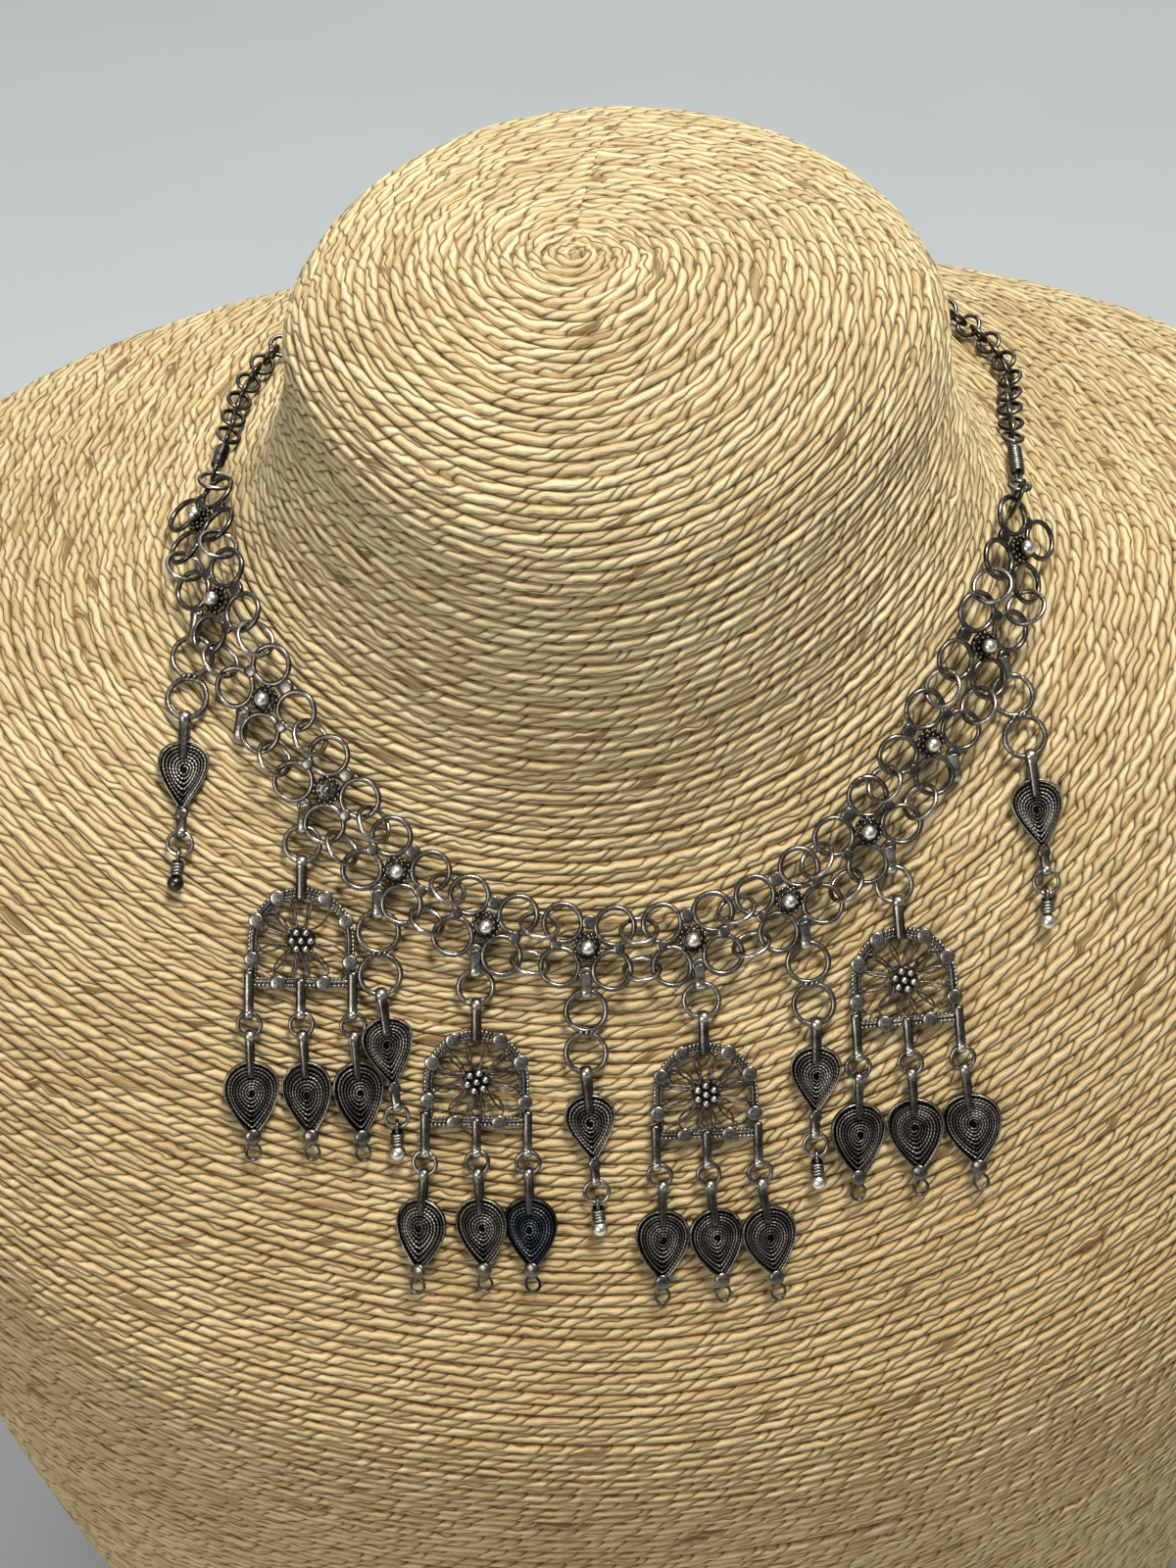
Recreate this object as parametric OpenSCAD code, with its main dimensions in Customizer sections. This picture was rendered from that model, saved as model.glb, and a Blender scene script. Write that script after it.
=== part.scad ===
// Silver necklace of quatrefoil units with pierced arch drops, leaf drops and teardrop drops,
// laid round the neck of a plain rope-wound neck and shoulder bust. Millimetres, +Z up, front to -Y.

/* [Bust] */
// Height of the bust from its flat base to the crown of the neck
bust_h = 318; // [290:1:360]
// Width of the neck column
neck_w = 104; // [98:1:112]
// Reach of the neck to the front of its axis
neck_front = 42; // [39:0.5:46]
// Reach of the neck to the back of its axis
neck_back = 56; // [50:0.5:62]
// Width over the shoulders
shoulder_w = 292; // [280:1:320]
// Reach of the chest to the front of the torso's centre
chest_reach = 108; // [104:1:112]
// Reach of the shoulder blades to the back of the torso's centre
back_reach = 80; // [72:1:90]
// How far the torso's centre stands behind the neck's axis
torso_back = 12; // [8:0.5:16]
// Squareness of the torso in plan, 0 is an ellipse
torso_square = 0.28; // [0.2:0.01:0.36]

/* [Units] */
// Outer diameter of the four rings of a unit
ring_od = 6.9; // [6.5:0.05:7.1]
// Wire diameter of the unit rings
ring_wire = 0.86; // [0.75:0.01:0.9]
// Distance between ring centres along the necklace
ring_dx = 8.3; // [8.2:0.05:8.4]
// Distance between ring centres across the necklace
ring_dy = 7; // [6.8:0.05:7.4]
// Distance from one unit to the next, measured on the bust
pitch = 16.7; // [16.6:0.05:16.85]
// How much nearer the two end units stand to their neighbours
end_draw = 0.8; // [0.5:0.1:1]
// Share of a pitch by which the middle unit stands left of centre
slide = 0.51; // [0.45:0.01:0.55]
// Height of the unit's ring plane over the bust
unit_lift = 3; // [2.95:0.05:3.4]
// Extra height of the ring plane where the unit bridges the hollow between neck and shoulder
stand_off = 1.2; // [1.1:0.05:1.5]
// Diameter of the ball in the middle of a unit
unit_ball = 2.5; // [2:0.1:3]
// Diameter of the beaded collar under the ball
collar_d = 4.8; // [4.6:0.1:5.4]
// Thickness of the collar
collar_t = 1.2; // [0.8:0.1:1.6]
// Diameter of the flat discs between the rings
disc_d = 2.4; // [2.1:0.1:2.8]
// Thickness of the flat discs
disc_t = 0.7; // [0.5:0.05:1]

/* [Link rings] */
// Outer diameter of the rings that join the units
link_od = 6.6; // [6.5:0.05:6.7]
// Wire diameter of the link rings
link_wire = 0.7; // [0.65:0.01:0.74]
// Tilt of the upper link rings out of the unit plane, degrees
upper_tilt = 54; // [53:1:57]
// Tilt of the lower link rings out of the unit plane, degrees
lower_tilt = 60; // [56:1:64]

/* [Straps] */
// Wall of every strap bail
strap_t = 0.4; // [0.35:0.01:0.45]
// Clear gap between a strap bail and the wire that it holds
strap_gap = 0.33; // [0.31:0.01:0.36]
// Width of the unit bails and of the teardrop and arch bails
bail_w = 1.7; // [1.4:0.05:2]
// Width of the narrow straps on the leaves and under the arches
leg_w = 1.5; // [1.2:0.05:1.7]
// Distance from the unit's bail root to the wire that hangs in it
bail_reach = 3.1; // [3:0.05:3.5]
// Extra reach of a bail that would be turned by a right angle
bail_turn_reach = 0.8; // [0.6:0.1:1.4]

/* [Teardrop drops] */
// Outer diameter of the two soldered rings
pair_od = 7.3; // [7:0.05:7.6]
// Wire diameter of the two soldered rings
pair_wire = 0.9; // [0.75:0.01:1]
// Width of the teardrop plate
tear_w = 8.2; // [7.6:0.1:9]
// Height of the teardrop plate
tear_h = 11.8; // [11.2:0.1:12.4]
// Distance from the plate's top to the wire in its bail
tear_neck = 3.6; // [3.2:0.1:4.4]
// Distance from the plate's tip to the wire in its tip loop
tear_foot = 2.7; // [2.4:0.1:3]
// Outer diameter of the ring under a teardrop
tip_ring_od = 4.5; // [4.2:0.05:4.8]
// Wire diameter of the ring under a teardrop
tip_ring_wire = 0.65; // [0.5:0.01:0.75]
// Diameter of the end ball
end_ball = 2.7; // [2.3:0.1:3]
// Length of the wire coil over the end ball
coil_len = 2; // [1.4:0.1:2.4]

/* [Arch drops] */
// Outer diameter of the ring that carries an arch
hanger_od = 6.4; // [6.2:0.05:6.8]
// Wire diameter of the ring that carries an arch
hanger_wire = 0.85; // [0.7:0.01:0.95]
// Width of the arch plate
arch_w = 17; // [16.4:0.1:18]
// Height of the arch plate
arch_h = 16; // [15.4:0.1:16.6]
// Width of the arch's frame band
arch_band = 1.5; // [1.3:0.05:1.8]
// Thickness of the arch's frame
arch_t = 1; // [0.8:0.05:1.2]
// Distance from the arch's top to the wire in its bail
arch_neck = 4; // [3.6:0.1:4.6]
// Distance from the arch's foot to the wire in a leg
arch_foot = 4.2; // [3.6:0.1:4.6]
// Number of filigree petals in an arch
petals = 12; // [10:1:12]
// Wire width of the filigree
filigree = 0.45; // [0.35:0.01:0.5]
// Diameter of the granules of the rosette
granule_d = 1.25; // [1:0.05:1.4]
// Outer diameter of the jump rings under an arch
jump_od = 4.4; // [4.2:0.05:4.7]
// Wire diameter of the jump rings
jump_wire = 0.7; // [0.55:0.01:0.8]
// Width of a leaf
leaf_w = 8.8; // [8.2:0.1:8.9]
// Height of a leaf
leaf_h = 12.8; // [12.2:0.1:13.4]
// Thickness of the leaf and teardrop plates
leaf_t = 0.8; // [0.6:0.05:0.9]
// Distance from the leaf's top to the wire in its bail
leaf_neck = 4.1; // [3.6:0.1:4.6]

/* [Ends] */
// Outer diameter of the small links of the back chain
chain_od = 4.6; // [4.4:0.05:4.9]
// Wire diameter of the small links of the back chain
chain_wire = 0.8; // [0.7:0.01:0.85]
// Length of the wrapped wire link at the wearer's left end
wrap_right = 22; // [20:0.5:24]
// Length of the wrapped wire link at the wearer's right end
wrap_left = 15; // [13:0.5:17]
// Length of the plain hook that closes the chain at the back
hook_len = 12; // [11:0.5:14]

/* [Hidden] */
silver = [0.42, 0.39, 0.35];
bright = [0.62, 0.59, 0.54];
straw = [0.80, 0.68, 0.48];

// Stations of the bust from the crown down, as shares of the named sizes. In each row: side reach
// and height, front reach and height, back reach and height, and how far it belongs to the torso.
// A reach of -1 to 0 is a share of the neck, and 0 to 1 leads from the neck to the full reach.
stations = [
    [-1.00, 1.000, -1.00, 1.000, -1.00, 1.000, 0.00],
    [-0.72, 0.998, -0.72, 0.994, -0.72, 0.998, 0.00],
    [-0.42, 0.994, -0.45, 0.976, -0.42, 0.995, 0.00],
    [-0.16, 0.981, -0.20, 0.947, -0.16, 0.987, 0.00],
    [-0.03, 0.959, -0.04, 0.909, -0.03, 0.965, 0.00],
    [ 0.00, 0.921,  0.00, 0.855,  0.00, 0.934, 0.00],
    [ 0.04, 0.884, 0.018, 0.796,  0.06, 0.903, 0.05],
    [ 0.09, 0.852,  0.06, 0.755,  0.16, 0.881, 0.20],
    [ 0.20, 0.827,  0.17, 0.714,  0.38, 0.865, 0.50],
    [ 0.46, 0.814,  0.40, 0.667,  0.66, 0.846, 0.80],
    [ 0.76, 0.802, 0.635, 0.604,  0.92, 0.799, 1.00],
    [ 0.94, 0.748, 0.845, 0.519,  1.00, 0.676, 1.00],
    [ 1.00, 0.629,  1.00, 0.415,  0.92, 0.487, 1.00],
    [ 0.94, 0.346,  0.93, 0.220,  0.78, 0.267, 1.00],
    [ 0.74, 0.000,  0.70, 0.000,  0.60, 0.000, 1.00]
];
last_station = len(stations) - 1;

// Route of the necklace round the bust: direction in degrees (-90 is the front) and station.
route = [
    [-290, 7.1], [-270, 7.1], [-245, 7.5], [-215, 8.0], [-190, 7.8], [-170, 7.65], [-150, 7.75],
    [-130, 8.0], [-110, 8.35], [-90, 8.52], [-70, 8.2], [-50, 7.75], [-30, 7.42], [-10, 7.38],
    [10, 7.75], [25, 8.15], [45, 8.1], [65, 7.6], [90, 7.1], [110, 7.1]
];

// Smooth curve through four values
function ease(a, b, c, d, f) =
    (2 * f ^ 3 - 3 * f ^ 2 + 1) * b + (f ^ 3 - 2 * f ^ 2 + f) * (c - a) / 2
    + (3 * f ^ 2 - 2 * f ^ 3) * c + (f ^ 3 - f ^ 2) * (d - b) / 2;
function station(t) =
    let (
        s = min(max(t, 0), last_station),
        i = min(floor(s), last_station - 1)
    )
    ease(stations[max(i - 1, 0)], stations[i], stations[i + 1], stations[min(i + 2, last_station)], s - i);
function reach(share, neck, far) = share < 0 ? neck * (1 + share) : neck + (far - neck) * share;
y_mid = torso_back + (back_reach - chest_reach) / 2;

// Point of the bust's surface at station t in direction phi
function surf(q) =
    let (
        c = station(q[0]),
        co = cos(q[1]),
        si = sin(q[1]),
        square_pow = 1 - torso_square * c[6],
        side = reach(c[0], neck_w / 2, shoulder_w / 2),
        deep = si < 0 ? reach(c[2], neck_front, chest_reach) : reach(c[4], neck_back, back_reach),
        end_z = si < 0 ? c[3] : c[5],
        w = si * si
    )
    [
        side * sign(co) * abs(co) ^ square_pow,
        torso_back * c[6] + deep * sign(si) * abs(si) ^ square_pow - y_mid,
        bust_h * (c[1] * (1 - w) + end_z * w)
    ];
dt = 0.01;
dphi = 0.5;
function unit_vec(v) = v / norm(v);
function along_t(q) = (surf(q + [dt, 0]) - surf(q - [dt, 0])) / (2 * dt);
function along_phi(q) = surf(q + [0, dphi]) - surf(q - [0, dphi]);
function normal(q) = unit_vec(cross(along_t(q), along_phi(q)));
function lifted(q, lift) = surf(q) + lift * normal(q);

// Moves a place on the surface by the vector w
function step(q, w) =
    let (
        a = along_t(q),
        b = along_phi(q),
        det = (a * a) * (b * b) - (a * b) ^ 2
    )
    q + [((a * w) * (b * b) - (b * w) * (a * b)) / det, ((b * w) * (a * a) - (a * w) * (a * b)) / det];
function downhill(q, swing) =
    let (
        n = normal(q),
        d = unit_vec([0, 0, -1] + n * n[2]),
        side = cross(d, n)
    )
    d * cos(swing) + side * sin(swing);
walk_step = 2;
function walk(q, swing, length) =
    length <= walk_step
        ? step(q, downhill(q, swing) * length)
        : walk(step(q, downhill(q, swing) * walk_step), swing, length - walk_step);

// Station of the route in direction phi
function route_row(phi, i = 1) = i >= len(route) - 3 || route[i + 1][0] > phi ? i : route_row(phi, i + 1);
function slope(a, b, width) = (b[1] - a[1]) / (b[0] - a[0]) * width;
function route_t(phi) =
    let (
        i = route_row(phi),
        a = route[i - 1],
        b = route[i],
        c = route[i + 1],
        d = route[i + 2],
        width = c[0] - b[0],
        f = (phi - b[0]) / width
    )
    (2 * f ^ 3 - 3 * f ^ 2 + 1) * b[1] + (f ^ 3 - 2 * f ^ 2 + f) * slope(a, c, width)
    + (3 * f ^ 2 - 2 * f ^ 3) * c[1] + (f ^ 3 - f ^ 2) * slope(b, d, width);

// Lengths along the route, as pairs of length and direction
phi_step = 2;
route_phis = [for (phi = [-280:phi_step:100]) phi];
route_points = [for (phi = route_phis) surf([route_t(phi), phi])];
function sums(values, i, total) =
    i >= len(values) ? [] : concat([total + values[i]], sums(values, i + 1, total + values[i]));
route_steps = [for (i = [1:len(route_points) - 1]) norm(route_points[i] - route_points[i - 1])];
route_sums = concat([0], sums(route_steps, 0, 0));
length_to_phi = [for (i = [0:len(route_phis) - 1]) [route_sums[i], route_phis[i]]];
phi_to_length = [for (i = [0:len(route_phis) - 1]) [route_phis[i], route_sums[i]]];
function on_route(s) =
    let (phi = lookup(s, length_to_phi))
    [route_t(phi), phi];
s_front = lookup(-90, phi_to_length);

// A frame is [origin, x axis, y axis, z axis]. On the route, x runs along the necklace,
// y points up towards the neck and z stands off the bust.
function route_frame(s, lift, span) =
    let (
        q = on_route(s),
        n = normal(q),
        chord = surf(on_route(s + span)) - surf(on_route(s - span)),
        u = unit_vec(chord - n * (chord * n))
    )
    [surf(q) + lift * n, u, cross(n, u), n];
function to_world(f, p) = f[0] + f[1] * p[0] + f[2] * p[1] + f[3] * p[2];
// Turns a frame about its own y axis, so that a positive turn brings its right side down
function rolled(f, a) = [f[0], f[1] * cos(a) - f[3] * sin(a), f[2], f[3] * cos(a) + f[1] * sin(a)];
// Turns a frame about its own x axis
function spun(f, a) = [f[0], f[1], f[2] * cos(a) + f[3] * sin(a), f[3] * cos(a) - f[2] * sin(a)];
module placed(f)
    multmatrix([
        [f[1][0], f[2][0], f[3][0], f[0][0]],
        [f[1][1], f[2][1], f[3][1], f[0][1]],
        [f[1][2], f[2][2], f[3][2], f[0][2]],
        [0, 0, 0, 1]
    ])
    children();

first_unit = -6;
last_unit = 6;
function unit_s(k) =
    s_front + (k - slide) * pitch - (k == first_unit ? -end_draw : k == last_unit ? end_draw : 0);
function unit_rise(k) = unit_lift + stand_off * max(1 - abs(abs(k) - 5) / 3, 0);
unit_frames = [for (k = [first_unit:last_unit]) route_frame(unit_s(k), unit_rise(k), pitch)];
function unit_frame(k) = unit_frames[k - first_unit];

// Share of the way downhill that a unit's bail is turned, and the turn itself in degrees
bail_share = 0.85;
far_bail_share = 1.25;
bail_root = ring_dy / 2 + ring_wire;
ring_lift = 1.75;
under = 1.1;
function bail_turn(k) =
    let (
        f = unit_frame(k),
        d = downhill(on_route(unit_s(k)), 0)
    )
    (k == -5 ? far_bail_share : bail_share) * atan2(d * f[1], -(d * f[2]));
function bail_length(k) = bail_reach + bail_turn_reach * abs(sin(bail_turn(k)));

// Dip of a unit's bail towards the bust, so that the wire in it lies ring_lift off the surface and at
// least the height "under" below the unit's rings; where the bust curves up to it, above them instead
function bail_dip(k) =
    let (
        a = bail_turn(k),
        f = unit_frame(k),
        len = bail_length(k),
        p = to_world(f, [sin(a) * len, -bail_root - cos(a) * len, 0]),
        q = step(on_route(unit_s(k)), p - f[0]),
        rise = (p - surf(q)) * normal(q) - ring_lift
    )
    asin((rise > under / 3 ? max(rise, under) : -under) / len);
function bail_end(k) =
    let (
        a = bail_turn(k),
        len = bail_length(k) * cos(bail_dip(k))
    )
    to_world(unit_frame(k), [sin(a) * len, -bail_root - cos(a) * len, -bail_length(k) * sin(bail_dip(k))]);
function bail_place(k) =
    let (f = unit_frame(k))
    step(on_route(unit_s(k)), bail_end(k) - f[0]);

// One hanging piece: its frame has the origin at its top wire, y up along the piece and z off the
// bust. A piece hangs from point top over place q, is long, and its foot lies foot_lift off the bust.
function hang(top, q, swing, long, foot_lift) =
    let (
        at = step(q, top - surf(q)),
        end_q = walk(at, swing, long),
        y = unit_vec(top - lifted(end_q, foot_lift)),
        n = normal(walk(at, swing, long / 2)),
        z = unit_vec(n - y * (n * y))
    )
    [[top, cross(y, z), y, z], end_q];
function foot(h, long) = to_world(h[0], [0, -long, 0]);

plate_lift = 1.7;
ball_lift = 1.9;
pair_r = (pair_od - pair_wire) / 2;
pair_dy = pair_od - pair_wire / 2;
pair_long = pair_dy + 2 * pair_r;
tear_long = tear_neck + tear_h + tear_foot;
tip_r = (tip_ring_od - tip_ring_wire) / 2;
hanger_r = (hanger_od - hanger_wire) / 2;
arch_long = arch_neck + arch_h + arch_foot;
jump_r = (jump_od - jump_wire) / 2;
leg_x = arch_w / 2 - 0.3;
jump_play = 0.24;
leaf_long = leaf_neck + leaf_h;
ball_loop_r = tip_ring_wire / 2 + strap_gap + tip_ring_wire / 2;
ball_long = ball_loop_r + coil_len + end_ball;

// Teardrop drops: unit number, the swing of the ring pair, the teardrop and the ball, and the
// teardrop's turn about its own height, in degrees, then its extra height off the bust
tear_drops = [
    [-5, 1, 5, 11, 0, 0],
    [-2, 3, -3, 4, 10, 1],
    [0, 3, -2, -2, 0, 0],
    [2, -7, 1, -3, 0, 0],
    [5, -12, -8, -2, 0, 0]
];
function pair_at(row) = hang(bail_end(row[0]), bail_place(row[0]), row[1], pair_long, ring_lift);
function tear_at(row) =
    let (
        top = pair_at(row),
        h = hang(foot(top, pair_long), top[1], row[2], tear_long, plate_lift + row[5])
    )
    [rolled(h[0], row[4]), h[1]];
function tip_at(row) =
    let (h = tear_at(row))
    hang(foot(h, tear_long), h[1], row[3], 2 * tip_r, ring_lift);
function ball_at(row) =
    let (h = tip_at(row))
    hang(foot(h, 2 * tip_r), h[1], row[3], ball_long, ball_lift);

// The strap of a unit's bail lies square to the wire that hangs in it
function bail_frame(k) =
    let (
        end = bail_end(k),
        y = unit_vec(to_world(unit_frame(k), [0, -bail_root, 0]) - end),
        wire = hang(end, bail_place(k), 0, pair_long, ring_lift)[0][1],
        x = unit_vec(wire - y * (wire * y))
    )
    [end, x, y, cross(x, y)];

// Arch drops: unit number, then the swing of the hanger ring and the arch, degrees
arch_drops = [
    [-3, 7, 6],
    [-1, 3, 4],
    [1, -4, 0],
    [3, -11, -5]
];
// Leaves: arch number, side of the arch, swing and turn about its own height in degrees, extra height
// off the bust, and share of the leaf's width
leaf_rows = [
    [0, -1, 4, 6, 0, 0.98], [0, 0, 1, -4, 0, 0.88], [0, 1, 1, 12, 0, 0.90],
    [1, -1, 7, -20, 0.8, 0.95], [1, 0, 0, -12, 0, 0.94], [1, 1, 1, -12, 0, 0.98],
    [2, -1, 2, 4, 0, 0.98], [2, 0, -5, 12, 0, 1.00], [2, 1, -7, 12, 0, 1.00],
    [3, -1, 0, 12, 0, 1.00], [3, 0, -5, -8, 0, 1.02], [3, 1, -9, -12, 0, 1.05]
];
function hanger_at(row) = hang(bail_end(row[0]), bail_place(row[0]), row[1], 2 * hanger_r, ring_lift);
function arch_at(row) =
    let (h = hanger_at(row))
    hang(foot(h, 2 * hanger_r), h[1], row[2], arch_long, plate_lift);
function leg_end(leaf) = to_world(arch_at(arch_drops[leaf[0]])[0], [leaf[1] * leg_x, -arch_long, 0]);
function leg_place(leaf) =
    let (h = arch_at(arch_drops[leaf[0]]))
    step(h[1], h[0][1] * leaf[1] * leg_x);
function jump_at(leaf) =
    let (h = hang(leg_end(leaf), leg_place(leaf), leaf[2], 2 * jump_r, ring_lift + leaf[4] / 2))
    [rolled(h[0], leaf[3] / 2), h[1]];
function leaf_at(leaf) =
    let (
        top = jump_at(leaf),
        h = hang(foot(top, 2 * jump_r), top[1], leaf[2], leaf_long, plate_lift + leaf[4])
    )
    [rolled(h[0], leaf[3]), h[1]];

// Round wire ring in the plane of x and y
module wire_ring(od, wire)
    rotate_extrude($fn = 48)
        translate([(od - wire) / 2, 0])
            circle(d = wire, $fn = 24);

// Flat strap bent into a loop round a wire at the origin, with a tail of given length down -y
strap_lead = 0.14;
module strap(width, wire, slot, tail) {
    hole = wire + 2 * strap_gap;
    translate([-width / 2, strap_lead, 0])
        rotate([90, 0, 90])
            linear_extrude(width)
                difference() {
                    union() {
                        circle(d = hole + 2 * strap_t, $fn = 32);
                        translate([-slot, 0])
                            circle(d = hole + 2 * strap_t, $fn = 32);
                        translate([-slot, -hole / 2 - strap_t])
                            square([slot, hole + 2 * strap_t]);
                        translate([-tail, -strap_t / 2])
                            square([tail - slot - hole / 2, strap_t * 1.5]);
                    }
                    circle(d = hole, $fn = 32);
                    translate([-slot, 0])
                        circle(d = hole, $fn = 32);
                    translate([-slot, -hole / 2])
                        square([slot, hole]);
                }
}

module bust() {
    columns = 40;
    ts = concat(
        [for (t = [0.5:0.5:5]) t],
        [for (t = [5.33:0.3333:8.7]) t],
        [for (t = [9:0.5:last_station]) t]
    );
    rows = len(ts);
    phis = [for (i = [0:columns - 1]) -180 + i * 360 / columns];
    top = surf([0, 0]);
    base = surf([last_station, 0]);
    points = concat(
        [top],
        [for (t = ts) for (phi = phis) surf([t, phi])],
        [[0, 0, base[2]]]
    );
    last = len(points) - 1;
    faces = concat(
        [for (i = [0:columns - 1]) [0, 1 + (i + 1) % columns, 1 + i]],
        [for (r = [0:rows - 2]) for (i = [0:columns - 1])
            let (a = 1 + r * columns + i, b = 1 + r * columns + (i + 1) % columns)
            [a, b, b + columns]],
        [for (r = [0:rows - 2]) for (i = [0:columns - 1])
            let (a = 1 + r * columns + i, b = 1 + r * columns + (i + 1) % columns)
            [a, b + columns, a + columns]],
        [for (i = [0:columns - 1])
            [last, 1 + (rows - 1) * columns + i, 1 + (rows - 1) * columns + (i + 1) % columns]]
    );
    color(straw)
        polyhedron(points = points, faces = faces, convexity = 4);
}

has_bail = [-5, -4, -3, -2, -1, 0, 1, 2, 3, 4, 5];
module unit(k)
    color(silver) {
        placed(unit_frame(k)) {
            for (x = [-1, 1])
                for (y = [-1, 1])
                    translate([x * ring_dx / 2, y * ring_dy / 2, 0])
                        wire_ring(ring_od, ring_wire);
            translate([0, 0, -collar_t / 2])
                cylinder(d = collar_d, h = collar_t, $fn = 32);
            translate([0, ring_dy / 2 + ring_wire / 2, -disc_t / 2])
                cylinder(d = disc_d, h = disc_t, $fn = 32);
            for (x = [-1, 1])
                translate([x * (ring_dx / 2 + ring_wire), 0, -disc_t / 2])
                    cylinder(d = disc_d * 0.8, h = disc_t, $fn = 32);
            translate([0, 0, collar_t / 2 + unit_ball * 0.4])
                sphere(d = unit_ball, $fn = 32);
            if (len(search(k, has_bail)) > 0)
                translate([0, -bail_root, -disc_t / 2])
                    cylinder(d = disc_d, h = disc_t, $fn = 32);
        }
        if (len(search(k, has_bail)) > 0)
            placed(bail_frame(k))
                rotate([0, 0, 180])
                    strap(bail_w, pair_wire, 0.6, bail_length(k) + 0.3);
    }

// How far each upper link ring has slipped from the middle between its two units, towards the second one
upper_slips = [0, 0.1, 0.3, 0.5, 0.1, 0, 0, 0, -0.7, -0.8, -0.3, 0];
// Ring that passes through the facing rings of units k and k + 1 on side sg
module link_ring(k, sg, tilt, slip = 0) {
    a = unit_frame(k);
    b = unit_frame(k + 1);
    ring_r = (ring_od - ring_wire) / 2;
    link_r = (link_od - link_wire) / 2;
    ca = to_world(a, [ring_dx / 2, sg * ring_dy / 2, 0]);
    cb = to_world(b, [-ring_dx / 2, sg * ring_dy / 2, 0]);
    e = unit_vec(cb - ca);
    ra = ca + unit_vec(e - a[3] * (e * a[3])) * ring_r;
    rb = cb - unit_vec(e - b[3] * (e * b[3])) * ring_r;
    n = unit_vec(a[3] + b[3] - e * ((a[3] + b[3]) * e));
    v = cross(n, e);
    w = -v * cos(tilt) + n * sin(tilt);
    half = norm(rb - ra) / 2;
    clear = (ring_wire + link_wire) / 2 + 0.25;
    drop = max((link_r - clear / sin(tilt)) * (1 - (half / (link_r - clear)) ^ 2), 0);
    placed([(ra + rb) / 2 + w * drop + e * slip, e, w, cross(e, w)])
        wire_ring(link_od, link_wire);
}
module upper_link_rings()
    color(bright)
        for (k = [first_unit:last_unit - 1])
            link_ring(k, 1, upper_tilt, upper_slips[k - first_unit]);
module lower_link_rings()
    color(bright)
        for (k = [first_unit:last_unit - 1])
            link_ring(k, -1, lower_tilt);

// Outline of a leaf: round above, drawn out to a tip below
leaf_points = 32;
function leaf_outline(w, h, p) =
    let (
        s = 1 / (1 + 2 * p),
        widest = sqrt(1 - s * s) * ((1 + s) / 2) ^ p
    )
    [for (i = [0:leaf_points - 1])
        let (a = -90 + i * 360 / leaf_points)
        [w / 2 / widest * cos(a) * ((1 + sin(a)) / 2) ^ p, h / 2 * sin(a)]];
rim = 0.55;
relief = 0.25;
module leaf_ring(w, h, p, inset)
    difference() {
        polygon(leaf_outline(w - 2 * inset, h - 3 * inset, p));
        polygon(leaf_outline(w - 2 * inset - 2 * rim, h - 3 * inset - 3 * rim, p));
    }
module filigree_plate(w, h, p) {
    translate([0, 0, -leaf_t / 2])
        linear_extrude(leaf_t)
            polygon(leaf_outline(w, h, p));
    for (inset = [0, 2.5 * rim])
        translate([0, -inset / 2, 0])
            linear_extrude(leaf_t / 2 + relief)
                leaf_ring(w, h, p, inset);
}

module ring_pair(row)
    color(silver)
        placed(pair_at(row)[0]) {
            for (i = [0, 1])
                translate([0, -pair_r - i * pair_dy, 0])
                    wire_ring(pair_od, pair_wire);
            for (x = [-0.9, 0.9])
                translate([x, -pair_r - pair_dy / 2, pair_wire / 2])
                    sphere(d = pair_wire * 1.2, $fn = 24);
        }

tear_p = 0.75;
leaf_p = 0.5;
module teardrop(row)
    color(silver)
        placed(tear_at(row)[0]) {
            strap(bail_w, pair_wire, 0.6, tear_neck + 2.6);
            translate([0, -tear_neck - tear_h / 2, 0])
                filigree_plate(tear_w, tear_h, tear_p);
            translate([0, -tear_long, 0])
                rotate([0, 0, 180])
                    strap(leg_w, tip_ring_wire, 0.3, tear_foot + 1);
        }
module tip_rings()
    color(silver)
        for (row = tear_drops)
            placed(tip_at(row)[0])
                translate([0, -tip_r, 0])
                    wire_ring(tip_ring_od, tip_ring_wire);
module ball(row) {
    turns = 4;
    coil_wire = coil_len / turns;
    color(bright)
        placed(ball_at(row)[0]) {
            rotate([0, 90, 0])
                wire_ring(2 * ball_loop_r + tip_ring_wire, tip_ring_wire);
            translate([0, -ball_loop_r, 0])
                rotate([90, 0, 0]) {
                    cylinder(d = end_ball * 0.85 - coil_wire, h = coil_len + end_ball / 4, $fn = 24);
                    for (i = [0:turns - 1])
                        translate([0, 0, (i + 0.5) * coil_wire])
                            wire_ring(end_ball * 0.85, coil_wire * 0.95);
                }
            translate([0, -ball_loop_r - coil_len - end_ball / 2, 0])
                sphere(d = end_ball, $fn = 32);
        }
}

module hanger_rings()
    color(silver)
        for (row = arch_drops)
            placed(hanger_at(row)[0])
                translate([0, -hanger_r, 0])
                    wire_ring(hanger_od, hanger_wire);

// The arch's own axes have their origin at the middle of its round top
arch_r = arch_w / 2;
arch_in_r = arch_r - arch_band;
arch_side = arch_h - arch_r;
module arch_shape(inset) {
    circle(r = arch_r - inset, $fn = 96);
    translate([-arch_r + inset, -arch_side + inset])
        square([arch_w - 2 * inset, arch_side - inset]);
}
hub_r = granule_d * 1.9;
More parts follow.
